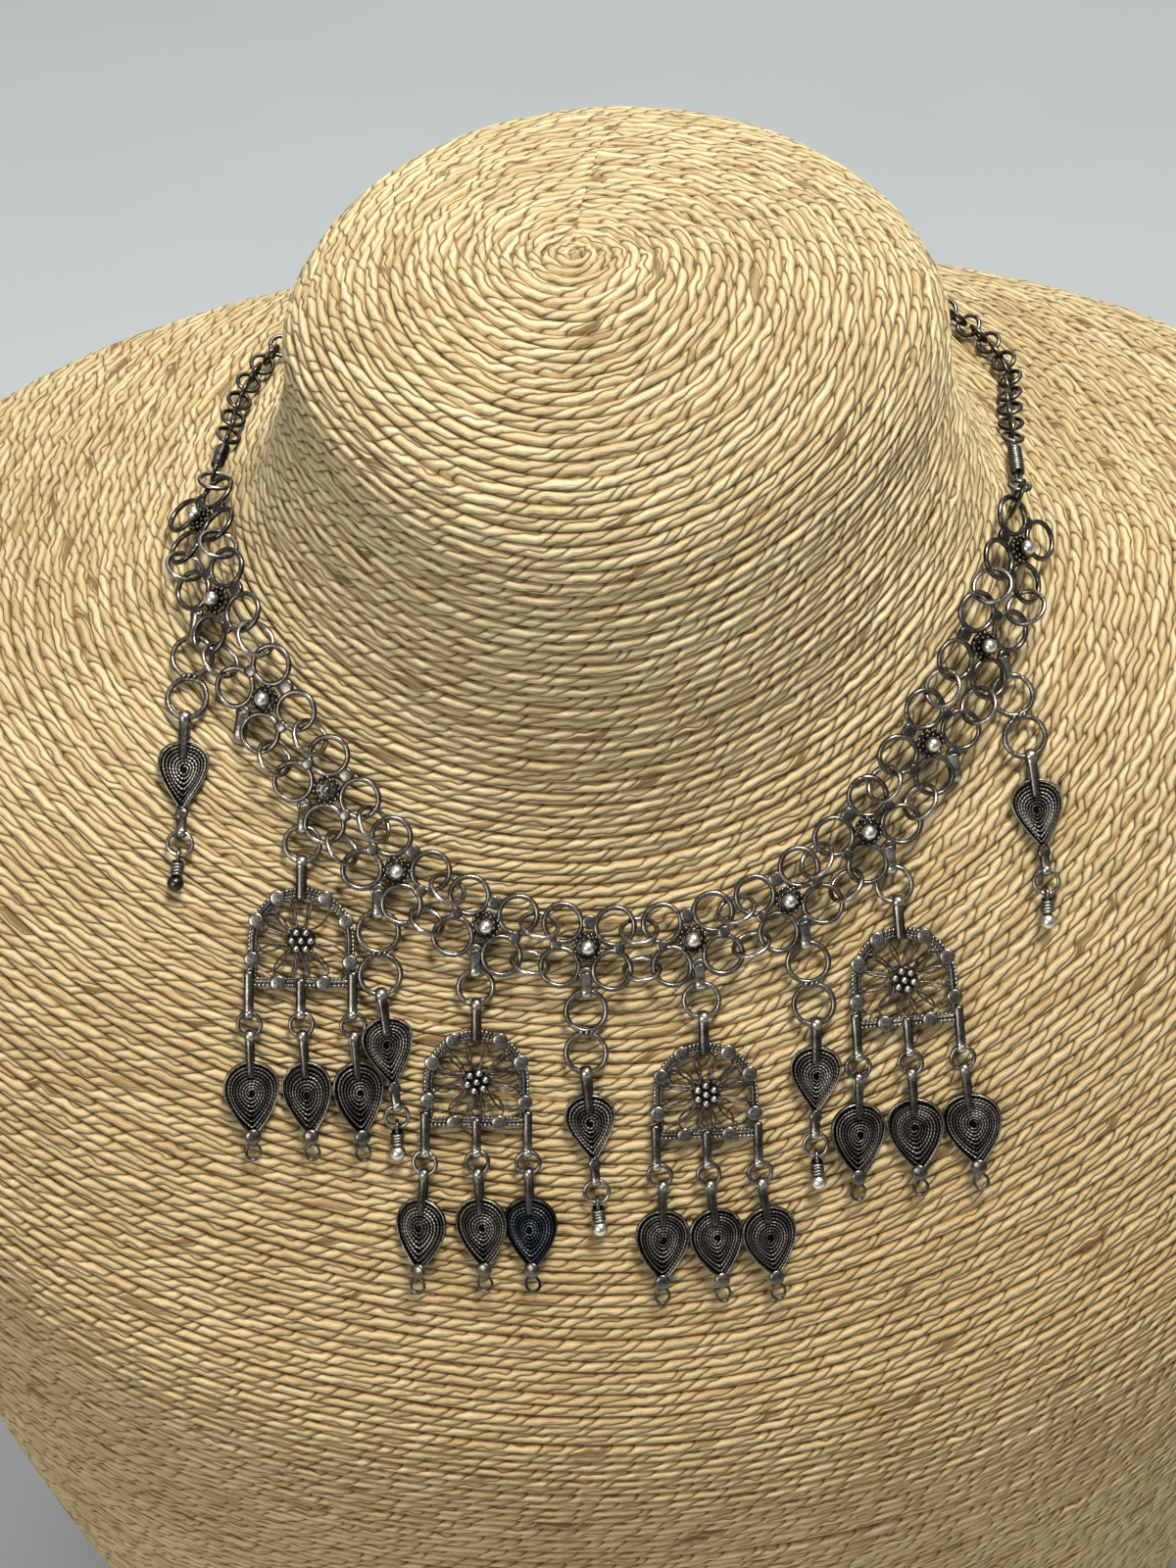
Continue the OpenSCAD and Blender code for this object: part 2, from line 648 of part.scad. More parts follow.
// Length of a petal that points in direction a, from the middle to the frame
function petal_end(a) =
    sin(a) >= 0
        ? arch_in_r + filigree / 2
        : min(arch_in_r / max(abs(cos(a)), 0.01), (arch_side - arch_band) / abs(sin(a))) + filigree / 2;
petal_points = 14;
function petal_outline(from, to, half) =
    [for (i = [0:petal_points - 1])
        let (a = i * 360 / petal_points)
        [(from + to) / 2 + (to - from) / 2 * cos(a), half * sin(a) * (1 + 0.35 * cos(a))]];
module petal(a) {
    from = hub_r - filigree / 2;
    to = petal_end(a);
    half = to * sin(180 / petals) * 0.62;
    rotate([0, 0, a])
        translate([0, 0, -arch_t * 0.3])
            linear_extrude(arch_t * 0.6)
                difference() {
                    polygon(petal_outline(from, to, half));
                    polygon(petal_outline(from + filigree, to - filigree, half - filigree));
                }
}
frame_disc_angles = [22, 58, 122, 158, 187, 353];
module arch(row)
    color(silver)
        placed(arch_at(row)[0]) {
            strap(bail_w, hanger_wire, 0.6, arch_neck + 1.2);
            translate([0, -arch_neck - arch_r, 0]) {
                translate([0, 0, -arch_t / 2])
                    linear_extrude(arch_t)
                        difference() {
                            arch_shape(0);
                            arch_shape(arch_band);
                        }
                for (i = [0:petals - 1])
                    petal(90 + i * 360 / petals);
                translate([0, 0, -arch_t * 0.4])
                    cylinder(r = hub_r, h = arch_t * 0.8, $fn = 48);
                for (i = [0:5])
                    rotate([0, 0, i * 60])
                        translate([granule_d * 1.2, 0, arch_t * 0.4 + granule_d * 0.2])
                            sphere(d = granule_d, $fn = 24);
                translate([0, 0, arch_t * 0.4 + granule_d * 0.2])
                    sphere(d = granule_d, $fn = 24);
                for (a = frame_disc_angles)
                    translate((arch_r - arch_band / 2) * [cos(a), sin(a), 0] + [0, 0, arch_t / 2 - 0.1])
                        cylinder(d = disc_d, h = disc_t * 0.7, $fn = 32);
            }
            for (x = [-1, 0, 1])
                translate([x * leg_x, -arch_long, 0])
                    rotate([0, 0, 180])
                        strap(leg_w, jump_wire + jump_play, 0.6, arch_foot + 1);
        }
module jump_rings()
    color(bright)
        for (leaf = leaf_rows)
            placed(jump_at(leaf)[0])
                translate([0, -jump_r, 0])
                    wire_ring(jump_od, jump_wire);
module leaf(i)
    color(silver)
        placed(leaf_at(leaf_rows[i])[0]) {
            strap(leg_w, jump_wire + jump_play, 0.6, leaf_neck + 2.6);
            translate([0, -leaf_neck - leaf_h / 2, 0])
                filigree_plate(leaf_w * leaf_rows[i][5], leaf_h, leaf_p);
            translate([0, -leaf_long, -disc_t / 2])
                cylinder(d = disc_d, h = leaf_t + 0.1, $fn = 32);
            translate([0, -leaf_long - disc_d / 2 - 1.1, 0])
                wire_ring(2.9, 0.5);
        }

// The ends: an end ring, then a wrapped wire link, then a chain of small links to the hook behind
ring_r = (ring_od - ring_wire) / 2;
end_od = 6;
crescent_od = 6.9;
crescent_wall = 1;
wrap_wire = 0.75;
wrap_loop_od = 4;
wrap_coil_d = 2.3;
wrap_r = (wrap_loop_od - wrap_wire) / 2;
end_lift = 4;
end_gap = 0.8;
chain_lift = 2.3;
chain_r = (chain_od - chain_wire) / 2;
link_gap = 0.28;
chain_pitch = 2 * chain_r - chain_wire - link_gap;
hook_loop_x = (hook_len - chain_od) / 2;
hook_reach = hook_loop_x + chain_pitch;
s_back_left = lookup(-270, phi_to_length);
s_back_right = lookup(90, phi_to_length);

// Each end: unit number, direction along the route, reach of the end ring's hole, length of the
// wrapped link, and where the chain of small links meets the hook
ends = [
    [first_unit, -1, end_od / 2 - link_wire, wrap_left, s_back_left + hook_reach],
    [last_unit, 1, crescent_od / 2 - crescent_wall, wrap_right, s_back_right - hook_reach]
];

// The chain runs beside the route at its start, and comes onto it over lane_long
lane_long = 45;
function end_s(e) = unit_s(e[0]) + e[1] * (ring_dx / 2 + ring_r);
function on_lane(e, s) =
    let (side = ring_dy / 2 * min(max(1 - e[1] * (s - end_s(e)) / lane_long, 0), 1))
    step(on_route(s), route_frame(s, 0, 2)[2] * side);
function lane_point(e, s, lift) = lifted(on_lane(e, s), lift);

// Frame at point p whose x axis leads to another point, with z near to the bust's normal at s
function aimed(e, p, to, s) =
    let (
        u = unit_vec(to - p),
        v = unit_vec(cross(normal(on_lane(e, s)), u))
    )
    [p, u, v, cross(u, v)];
function end_ring_frame(e) =
    let (
        start = to_world(unit_frame(e[0]), [e[1] * ring_dx / 2, ring_dy / 2, 0]),
        u = unit_vec(lane_point(e, end_s(e) + 6 * e[1], end_lift) - start),
        p = start + u * (ring_r + e[2] - ring_wire / 2 - end_gap)
    )
    aimed(e, p, p + u, end_s(e));
function wrap_start(e) = to_world(end_ring_frame(e), [e[2] - link_gap - wrap_wire / 2 + wrap_r, 0, 0]);
function wrap_span(e) = e[3] - wrap_loop_od;
function wrap_s(e) = end_s(e) + e[1] * (2 * e[2] + wrap_r + wrap_span(e));
function wrap_frame(e) =
    let (
        middle_s = wrap_s(e) - e[1] * wrap_span(e) / 2,
        f = aimed(e, wrap_start(e), lane_point(e, wrap_s(e), chain_lift), middle_s)
    )
    [to_world(f, [wrap_span(e) / 2, 0, 0]), f[1], f[2], f[3]];
function chain_start(e) =
    let (past_loop = wrap_r - (wrap_wire + chain_wire) / 2 - link_gap + chain_r)
    to_world(wrap_frame(e), [wrap_span(e) / 2 + past_loop, 0, 0]);
function chain_start_s(e) =
    let (
        s = wrap_s(e) + e[1] * chain_r,
        along = unit_vec(lane_point(e, s + e[1], chain_lift) - lane_point(e, s, chain_lift))
    )
    s + e[1] * ((chain_start(e) - lane_point(e, s, chain_lift)) * along);
// An odd number of steps at the left and an even one at the right bring both sides square to the hook
function chain_count(e) =
    let (steps = abs(e[4] - chain_start_s(e)) / chain_pitch)
    e[1] < 0 ? 2 * ceil((steps - 1) / 2) + 1 : 2 * ceil(steps / 2);

// Middle of small link i; the first few links and the last few are drawn over to what they hold
blend_links = 6;
function chain_point(e, i) =
    let (
        n = chain_count(e),
        s0 = chain_start_s(e),
        s = s0 + (e[4] - s0) * i / n,
        miss = chain_start(e) - lane_point(e, s0, chain_lift),
        end_miss = to_world(hook_frame, [-e[1] * hook_reach, 0, 0]) - lane_point(e, e[4], chain_lift)
    )
    lane_point(e, s, chain_lift) + miss * min(max(1 - i / blend_links, 0), 1)
    + end_miss * min(max(1 - (n - i) / blend_links, 0), 1);
hook_frame = route_frame(s_back_left, chain_lift, 5);

// Neighbouring links stand square to each other. The end ring is spun furthest out of the bust's
// surface, and the small links come round to even angles.
end_spin = 54;
function link_spin(i) = (i % 2 == 0 ? 0 : -90) + 45 + (end_spin - 45) * max(1 - i / blend_links, 0);
module end_ring_left()
    color(bright)
        placed(spun(end_ring_frame(ends[0]), end_spin))
            wire_ring(end_od, link_wire);
module end_ring_right()
    color(bright)
        placed(spun(end_ring_frame(ends[1]), end_spin))
            translate([0, 0, -link_wire / 2])
                linear_extrude(link_wire)
                    difference() {
                        circle(d = crescent_od, $fn = 64);
                        circle(d = crescent_od - 2 * crescent_wall, $fn = 64);
                    }

module wrapped_link(length) {
    loop_x = (length - wrap_loop_od) / 2;
    coil_half = length * 0.2;
    for (x = [-1, 1]) {
        translate([x * loop_x, 0, 0])
            wire_ring(wrap_loop_od, wrap_wire);
        translate([x * (loop_x - wrap_r + wrap_wire / 4), 0, 0])
            rotate([0, -90 * x, 0])
                cylinder(d = wrap_wire * 1.8, h = loop_x - wrap_r, $fn = 24);
    }
    rotate([0, 90, 0])
        translate([0, 0, -coil_half])
            cylinder(d = wrap_coil_d, h = 2 * coil_half, $fn = 32);
}
module wrapped_link_left()
    color(silver)
        placed(spun(wrap_frame(ends[0]), end_spin - 90))
            wrapped_link(wrap_left);
module wrapped_link_right()
    color(silver)
        placed(spun(wrap_frame(ends[1]), end_spin - 90))
            wrapped_link(wrap_right);

module back_chain(e)
    color(silver)
        for (i = [0:chain_count(e)])
            placed(spun(
                aimed(
                    e,
                    chain_point(e, i),
                    chain_point(e, i) + chain_point(e, i + 0.5) - chain_point(e, i - 0.5),
                    chain_start_s(e) + (e[4] - chain_start_s(e)) * i / chain_count(e)
                ),
                link_spin(i)
            ))
                wire_ring(chain_od, chain_wire);

module clasp_hook()
    color(silver)
        placed(spun(hook_frame, -45)) {
            for (x = [-1, 1])
                translate([x * hook_loop_x, 0, 0])
                    wire_ring(chain_od, chain_wire);
            rotate([0, 90, 0])
                translate([0, 0, chain_r - hook_loop_x])
                    cylinder(d = chain_wire * 1.1, h = 2 * (hook_loop_x - chain_r), $fn = 24);
        }

bust();
unit(-6);  // unit_l6
unit(-5);  // unit_l5
unit(-4);  // unit_l4
unit(-3);  // unit_l3
unit(-2);  // unit_l2
unit(-1);  // unit_l1
unit(0);  // unit_c
unit(1);  // unit_r1
unit(2);  // unit_r2
unit(3);  // unit_r3
unit(4);  // unit_r4
unit(5);  // unit_r5
unit(6);  // unit_r6
upper_link_rings();
lower_link_rings();
ring_pair(tear_drops[0]);  // ring_pair_l5
ring_pair(tear_drops[1]);  // ring_pair_l2
ring_pair(tear_drops[2]);  // ring_pair_c
ring_pair(tear_drops[3]);  // ring_pair_r2
ring_pair(tear_drops[4]);  // ring_pair_r5
teardrop(tear_drops[0]);  // teardrop_l5
teardrop(tear_drops[1]);  // teardrop_l2
teardrop(tear_drops[2]);  // teardrop_c
teardrop(tear_drops[3]);  // teardrop_r2
teardrop(tear_drops[4]);  // teardrop_r5
tip_rings();
ball(tear_drops[0]);  // ball_l5
ball(tear_drops[1]);  // ball_l2
ball(tear_drops[2]);  // ball_c
ball(tear_drops[3]);  // ball_r2
ball(tear_drops[4]);  // ball_r5
hanger_rings();
arch(arch_drops[0]);  // arch_l3
arch(arch_drops[1]);  // arch_l1
arch(arch_drops[2]);  // arch_r1
arch(arch_drops[3]);  // arch_r3
jump_rings();
leaf(0);  // leaf_l3_a
leaf(1);  // leaf_l3_b
leaf(2);  // leaf_l3_c
leaf(3);  // leaf_l1_a
leaf(4);  // leaf_l1_b
leaf(5);  // leaf_l1_c
leaf(6);  // leaf_r1_a
leaf(7);  // leaf_r1_b
leaf(8);  // leaf_r1_c
leaf(9);  // leaf_r3_a
leaf(10);  // leaf_r3_b
leaf(11);  // leaf_r3_c
end_ring_left();
wrapped_link_left();
end_ring_right();
wrapped_link_right();
back_chain(ends[0]);  // back_chain_left
back_chain(ends[1]);  // back_chain_right
clasp_hook();
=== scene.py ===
from math import asin, atan2, ceil, cos, degrees, pi, radians, sin, sqrt

import bpy
import numpy as np
from mathutils import Matrix, Vector


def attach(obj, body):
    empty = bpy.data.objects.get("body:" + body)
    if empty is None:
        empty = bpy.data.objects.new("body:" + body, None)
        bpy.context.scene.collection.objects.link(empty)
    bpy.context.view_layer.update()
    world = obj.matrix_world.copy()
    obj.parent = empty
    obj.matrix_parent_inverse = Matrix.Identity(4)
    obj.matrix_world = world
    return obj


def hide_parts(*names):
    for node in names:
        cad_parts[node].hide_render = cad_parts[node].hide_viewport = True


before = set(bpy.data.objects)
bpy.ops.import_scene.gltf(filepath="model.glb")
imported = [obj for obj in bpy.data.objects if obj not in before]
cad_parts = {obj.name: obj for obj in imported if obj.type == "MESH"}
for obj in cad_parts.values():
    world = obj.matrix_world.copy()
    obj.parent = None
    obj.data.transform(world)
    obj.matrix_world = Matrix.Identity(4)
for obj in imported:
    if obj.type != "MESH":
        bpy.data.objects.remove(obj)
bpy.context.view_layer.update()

# The bust and the necklace's route, with the same sizes as the solids, in millimetres
BUST_H, NECK_W, NECK_FRONT, NECK_BACK = 318, 104, 42, 56
SHOULDER_W, CHEST_REACH, BACK_REACH, TORSO_BACK, TORSO_SQUARE = 292, 108, 80, 12, 0.28
# Each station has reach and height at the side, at the front and at the back, and how far it is torso
STATIONS = np.array([
    [-1.00, 1.000, -1.00, 1.000, -1.00, 1.000, 0.00],
    [-0.72, 0.998, -0.72, 0.994, -0.72, 0.998, 0.00],
    [-0.42, 0.994, -0.45, 0.976, -0.42, 0.995, 0.00],
    [-0.16, 0.981, -0.20, 0.947, -0.16, 0.987, 0.00],
    [-0.03, 0.959, -0.04, 0.909, -0.03, 0.965, 0.00],
    [0.00, 0.921, 0.00, 0.855, 0.00, 0.934, 0.00],
    [0.04, 0.884, 0.018, 0.796, 0.06, 0.903, 0.05],
    [0.09, 0.852, 0.06, 0.755, 0.16, 0.881, 0.20],
    [0.20, 0.827, 0.17, 0.714, 0.38, 0.865, 0.50],
    [0.46, 0.814, 0.40, 0.667, 0.66, 0.846, 0.80],
    [0.76, 0.802, 0.635, 0.604, 0.92, 0.799, 1.00],
    [0.94, 0.748, 0.845, 0.519, 1.00, 0.676, 1.00],
    [1.00, 0.629, 1.00, 0.415, 0.92, 0.487, 1.00],
    [0.94, 0.346, 0.93, 0.220, 0.78, 0.267, 1.00],
    [0.74, 0.000, 0.70, 0.000, 0.60, 0.000, 1.00],
])
LAST = len(STATIONS) - 1
# Directions round the neck in degrees, each with its station
ROUTE = [
    [-290, 7.1], [-270, 7.1], [-245, 7.5], [-215, 8.0], [-190, 7.8], [-170, 7.65], [-150, 7.75],
    [-130, 8.0], [-110, 8.35], [-90, 8.52], [-70, 8.2], [-50, 7.75], [-30, 7.42], [-10, 7.38],
    [10, 7.75], [25, 8.15], [45, 8.1], [65, 7.6], [90, 7.1], [110, 7.1],
]
Y_MID = TORSO_BACK + (BACK_REACH - CHEST_REACH) / 2
RING_OD, RING_WIRE, RING_DX, RING_DY = 6.9, 0.86, 8.3, 7
PITCH, END_DRAW, SLIDE, UNIT_LIFT, STAND_OFF = 16.7, 0.8, 0.51, 3, 1.2
END_UNIT, LIFTED_UNIT, LIFT_SPREAD, FAR_BAIL_UNIT, EMPTY_BAIL_UNIT, NO_BALL_UNIT = 6, 5, 3, -5, 4, -3
UPPER_SLIPS = [0, 0.1, 0.3, 0.5, 0.1, 0, 0, 0, -0.7, -0.8, -0.3, 0]
LINK_OD, LINK_WIRE, LINK_PLAY, UPPER_TILT, LOWER_TILT = 6.6, 0.7, 0.25, 54, 60
STRAP_GAP, BAIL_W, LEG_W = 0.33, 1.7, 1.5
STRAP_T, STRAP_DOME, STRAP_PLAY = 0.36, 0.12, 0.18
BAIL_REACH, BAIL_TURN_REACH, BAIL_SHARE, FAR_BAIL_SHARE, UNDER = 3.1, 0.8, 0.85, 1.25, 1.1
RING_LIFT, PLATE_LIFT, BALL_LIFT = 1.75, 1.7, 1.9
PAIR_OD, PAIR_WIRE, TEAR_W, TEAR_H, TEAR_NECK, TEAR_FOOT = 7.3, 0.9, 8.2, 11.8, 3.6, 2.7
TEAR_POINT, LEAF_POINT, FINE_COIL, COARSE_COIL = 0.75, 0.5, 0.48, 0.54
TIP_OD, TIP_WIRE, END_BALL, COIL_LEN, COIL_TURNS = 4.5, 0.65, 2.7, 2, 4
HANGER_OD, HANGER_WIRE, ARCH_W, ARCH_H, ARCH_BAND, ARCH_NECK, ARCH_FOOT = 6.4, 0.85, 17, 16, 1.5, 4, 4.2
JUMP_OD, JUMP_WIRE, LEAF_W, LEAF_H, LEAF_NECK = 4.4, 0.7, 8.8, 12.8, 4.1
CHAIN_OD, CHAIN_WIRE, WRAP_RIGHT, WRAP_LEFT, HOOK_LEN = 4.6, 0.8, 22, 15, 12


def blend(a, slope_a, b, slope_b, f):
    """Smooth curve from a to b with these slopes at its ends."""
    return ((2 * f ** 3 - 3 * f ** 2 + 1) * a + (f ** 3 - 2 * f ** 2 + f) * slope_a
            + (3 * f ** 2 - 2 * f ** 3) * b + (f ** 3 - f ** 2) * slope_b)


def ease(a, b, c, d, f):
    return blend(b, (c - a) / 2, c, (d - b) / 2, f)


def surf(t, phi):
    """Points of the bust at stations t, in direction phi in degrees."""
    t = np.clip(np.asarray(t, float), 0, LAST)
    i = np.minimum(np.floor(t).astype(int), LAST - 1)
    c = ease(*(STATIONS[np.clip(i + k, 0, LAST)] for k in (-1, 0, 1, 2)), (t - i)[..., None])
    co, si = [0.0 if abs(x) < 1e-12 else x for x in (cos(radians(phi)), sin(radians(phi)))]

    def reach(share, neck, far):
        return np.where(share < 0, neck * (1 + share), neck + (far - neck) * share)

    side_share, side_z, front_share, front_z, back_share, back_z, torso = np.moveaxis(c, -1, 0)
    square = 1 - TORSO_SQUARE * torso
    side = reach(side_share, NECK_W / 2, SHOULDER_W / 2)
    if si < 0:
        deep, end_z = reach(front_share, NECK_FRONT, CHEST_REACH), front_z
    else:
        deep, end_z = reach(back_share, NECK_BACK, BACK_REACH), back_z
    w = si * si
    return np.stack([
        side * np.sign(co) * abs(co) ** square,
        TORSO_BACK * torso + deep * np.sign(si) * abs(si) ** square - Y_MID,
        BUST_H * (side_z * (1 - w) + end_z * w),
    ], -1)


def unit_vec(v):
    return v / np.linalg.norm(v)


def unit_rows(rows, least=1e-9):
    return rows / np.maximum(np.linalg.norm(rows, axis=1), least)[:, None]


def fade(x):
    """1 at nothing, down to 0 at one and beyond."""
    return np.clip(1 - x, 0, 1)


def square_to(n, v):
    """Unit vector nearest to v that is square to n."""
    return unit_vec(v - n * (v @ n))


def resampled(at, lengths, rows):
    return np.stack([np.interp(at, lengths, rows[:, i]) for i in range(3)], -1)


def lengths_along(path):
    return np.concatenate([[0], np.cumsum(np.linalg.norm(np.diff(path, axis=0), axis=1))])


def along_t(q):
    return (surf(q[0] + 0.01, q[1]) - surf(q[0] - 0.01, q[1])) / 0.02


def along_phi(q):
    return surf(q[0], q[1] + 0.5) - surf(q[0], q[1] - 0.5)


def normal(q):
    return unit_vec(np.cross(along_t(q), along_phi(q)))


def lifted(q, lift):
    return surf(*q) + lift * normal(q)


def step(q, w):
    """The place after moving by w from the place q."""
    a, b = along_t(q), along_phi(q)
    aa, ab, bb, aw, bw = a @ a, a @ b, b @ b, a @ w, b @ w
    det = aa * bb - ab ** 2
    return q[0] + (aw * bb - bw * ab) / det, q[1] + (bw * aa - aw * ab) / det


def downhill(q, swing):
    n = normal(q)
    d = square_to(n, np.array([0, 0, -1.0]))
    return d * cos(radians(swing)) + np.cross(d, n) * sin(radians(swing))


def walk(q, swing, length):
    while length > 2:
        q = step(q, downhill(q, swing) * 2)
        length -= 2
    return step(q, downhill(q, swing) * length)


def route_t(phi):
    i = 1
    while i < len(ROUTE) - 3 and ROUTE[i + 1][0] <= phi:
        i += 1
    a, b, c, d = ROUTE[i - 1:i + 3]
    width = c[0] - b[0]
    f = (phi - b[0]) / width

    def slope(p, q):
        return (q[1] - p[1]) / (q[0] - p[0]) * width

    return blend(b[1], slope(a, c), c[1], slope(b, d), f)


route_phis = np.arange(-280, 101, 2.0)
route_points = np.array([surf(route_t(p), p) for p in route_phis])
route_sums = lengths_along(route_points)


def on_route(s):
    phi = float(np.interp(s, route_sums, route_phis))
    return route_t(phi), phi


def s_at(phi):
    return float(np.interp(phi, route_phis, route_sums))


def route_frame(s, lift, span):
    q = on_route(s)
    n = normal(q)
    u = square_to(n, surf(*on_route(s + span)) - surf(*on_route(s - span)))
    return [surf(*q) + lift * n, u, np.cross(n, u), n]


def to_world(f, p):
    """Points p of the frame f, which lists an origin and its x, y and z axes."""
    p = np.asarray(p, float)
    return f[0] + p[..., :1] * f[1] + p[..., 1:2] * f[2] + p[..., 2:] * f[3]


def rolled(f, a):
    a = radians(a)
    return [f[0], f[1] * cos(a) - f[3] * sin(a), f[2], f[3] * cos(a) + f[1] * sin(a)]


def spun(f, a):
    a = radians(a)
    return [f[0], f[1], f[2] * cos(a) + f[3] * sin(a), f[3] * cos(a) - f[2] * sin(a)]


def moved(f, p):
    return [to_world(f, p), f[1], f[2], f[3]]


def flipped(f):
    return [f[0], -f[1], -f[2], f[3]]


def edge_on(f):
    """The same place, with the ring plane square to the plate."""
    return [f[0], f[3], f[2], -f[1]]


# Units, their bails and the way the drops hang, as in the solids
def unit_s(k):
    drawn = -END_DRAW if k == END_UNIT else END_DRAW if k == -END_UNIT else 0
    return s_at(-90) + (k - SLIDE) * PITCH + drawn


def unit_frame(k):
    stand_off = STAND_OFF * fade(abs(abs(k) - LIFTED_UNIT) / LIFT_SPREAD)
    return route_frame(unit_s(k), UNIT_LIFT + stand_off, PITCH)


NUMBERS = range(-END_UNIT, END_UNIT + 1)
UNITS = {k: unit_frame(k) for k in NUMBERS}
SIDES = {k: "c" if k == 0 else ("l" if k < 0 else "r") + str(abs(k)) for k in NUMBERS}
BAIL_ROOT = RING_DY / 2 + RING_WIRE


def bail_turn(k):
    f = UNITS[k]
    d = downhill(on_route(unit_s(k)), 0)
    return (FAR_BAIL_SHARE if k == FAR_BAIL_UNIT else BAIL_SHARE) * degrees(atan2(d @ f[1], -(d @ f[2])))


def bail_length(k):
    return BAIL_REACH + BAIL_TURN_REACH * abs(sin(radians(bail_turn(k))))


def bail_point(k, dip):
    a, length = radians(bail_turn(k)), bail_length(k)
    flat = length * cos(dip)
    return to_world(UNITS[k], [sin(a) * flat, -BAIL_ROOT - cos(a) * flat, -length * sin(dip)])


def bail_end(k):
    p = bail_point(k, 0)
    q = step(on_route(unit_s(k)), p - UNITS[k][0])
    rise = (p - surf(*q)) @ normal(q) - RING_LIFT
    return bail_point(k, asin((max(rise, UNDER) if rise > UNDER / 3 else -UNDER) / bail_length(k)))


def bail_place(k):
    return step(on_route(unit_s(k)), bail_end(k) - UNITS[k][0])


def hang(top, q, swing, long, foot_lift):
    """Frame of a drop from its top, with its foot above the bust, and the place of the foot."""
    at = step(q, top - surf(*q))
    end_q = walk(at, swing, long)
    y = unit_vec(top - lifted(end_q, foot_lift))
    z = square_to(y, normal(walk(at, swing, long / 2)))
    return [top, np.cross(y, z), y, z], end_q


def foot(f, long):
    return to_world(f, [0, -long, 0])


PAIR_R, PAIR_DY = (PAIR_OD - PAIR_WIRE) / 2, PAIR_OD - PAIR_WIRE / 2
PAIR_LONG = PAIR_DY + 2 * PAIR_R
TEAR_LONG = TEAR_NECK + TEAR_H + TEAR_FOOT
TIP_R, HANGER_R, JUMP_R = (TIP_OD - TIP_WIRE) / 2, (HANGER_OD - HANGER_WIRE) / 2, (JUMP_OD - JUMP_WIRE) / 2
ARCH_LONG, LEG_X, LEAF_LONG = ARCH_NECK + ARCH_H + ARCH_FOOT, ARCH_W / 2 - 0.3, LEAF_NECK + LEAF_H
BALL_LOOP_R = TIP_WIRE + STRAP_GAP
BALL_LONG = BALL_LOOP_R + COIL_LEN + END_BALL
# Rows of tear_chain and arch_chain. A leaf has its arch's row, what leaf_chain takes and its width.
TEAR_DROPS = [
    [-5, 1, 5, 11, 0, 0], [-2, 3, -3, 4, 10, 1], [0, 3, -2, -2, 0, 0],
    [2, -7, 1, -3, 0, 0], [5, -12, -8, -2, 0, 0],
]
ARCH_DROPS = [[-3, 7, 6], [-1, 3, 4], [1, -4, 0], [3, -11, -5]]
LEAF_ROWS = [
    [0, -1, 4, 6, 0, 0.98], [0, 0, 1, -4, 0, 0.88], [0, 1, 1, 12, 0, 0.90],
    [1, -1, 7, -20, 0.8, 0.95], [1, 0, 0, -12, 0, 0.94], [1, 1, 1, -12, 0, 0.98],
    [2, -1, 2, 4, 0, 0.98], [2, 0, -5, 12, 0, 1.00], [2, 1, -7, 12, 0, 1.00],
    [3, -1, 0, 12, 0, 1.00], [3, 0, -5, -8, 0, 1.02], [3, 1, -9, -12, 0, 1.05],
]


def tear_chain(k, pair_swing, swing, tip_swing, roll, lift):
    """Frames of the ring pair, the teardrop, its tip ring and its ball."""
    pair = hang(bail_end(k), bail_place(k), pair_swing, PAIR_LONG, RING_LIFT)
    tear = hang(foot(pair[0], PAIR_LONG), pair[1], swing, TEAR_LONG, PLATE_LIFT + lift)
    plate = rolled(tear[0], roll)
    tip = hang(foot(plate, TEAR_LONG), tear[1], tip_swing, 2 * TIP_R, RING_LIFT)
    bob = hang(foot(tip[0], 2 * TIP_R), tip[1], tip_swing, BALL_LONG, BALL_LIFT)
    return pair[0], plate, tip[0], bob[0]


def arch_chain(k, hanger_swing, swing):
    """Frame of the hanger ring, and frame and place of the arch."""
    hanger = hang(bail_end(k), bail_place(k), hanger_swing, 2 * HANGER_R, RING_LIFT)
    return hanger[0], hang(foot(hanger[0], 2 * HANGER_R), hanger[1], swing, ARCH_LONG, PLATE_LIFT)


def leaf_chain(f, q, across, swing, roll, lift):
    """Frames of the jump ring and the leaf, under an arch with frame f and place q."""
    end = to_world(f, [across * LEG_X, -ARCH_LONG, 0])
    jump = hang(end, step(q, f[1] * across * LEG_X), swing, 2 * JUMP_R, RING_LIFT + lift / 2)
    jump_ring = rolled(jump[0], roll / 2)
    plate = hang(foot(jump_ring, 2 * JUMP_R), jump[1], swing, LEAF_LONG, PLATE_LIFT + lift)
    return jump_ring, rolled(plate[0], roll)


def bail_frame(k):
    end = bail_end(k)
    y = unit_vec(to_world(UNITS[k], [0, -BAIL_ROOT, 0]) - end)
    x = square_to(y, hang(end, bail_place(k), 0, PAIR_LONG, RING_LIFT)[0][1])
    return [end, x, y, np.cross(x, y)]


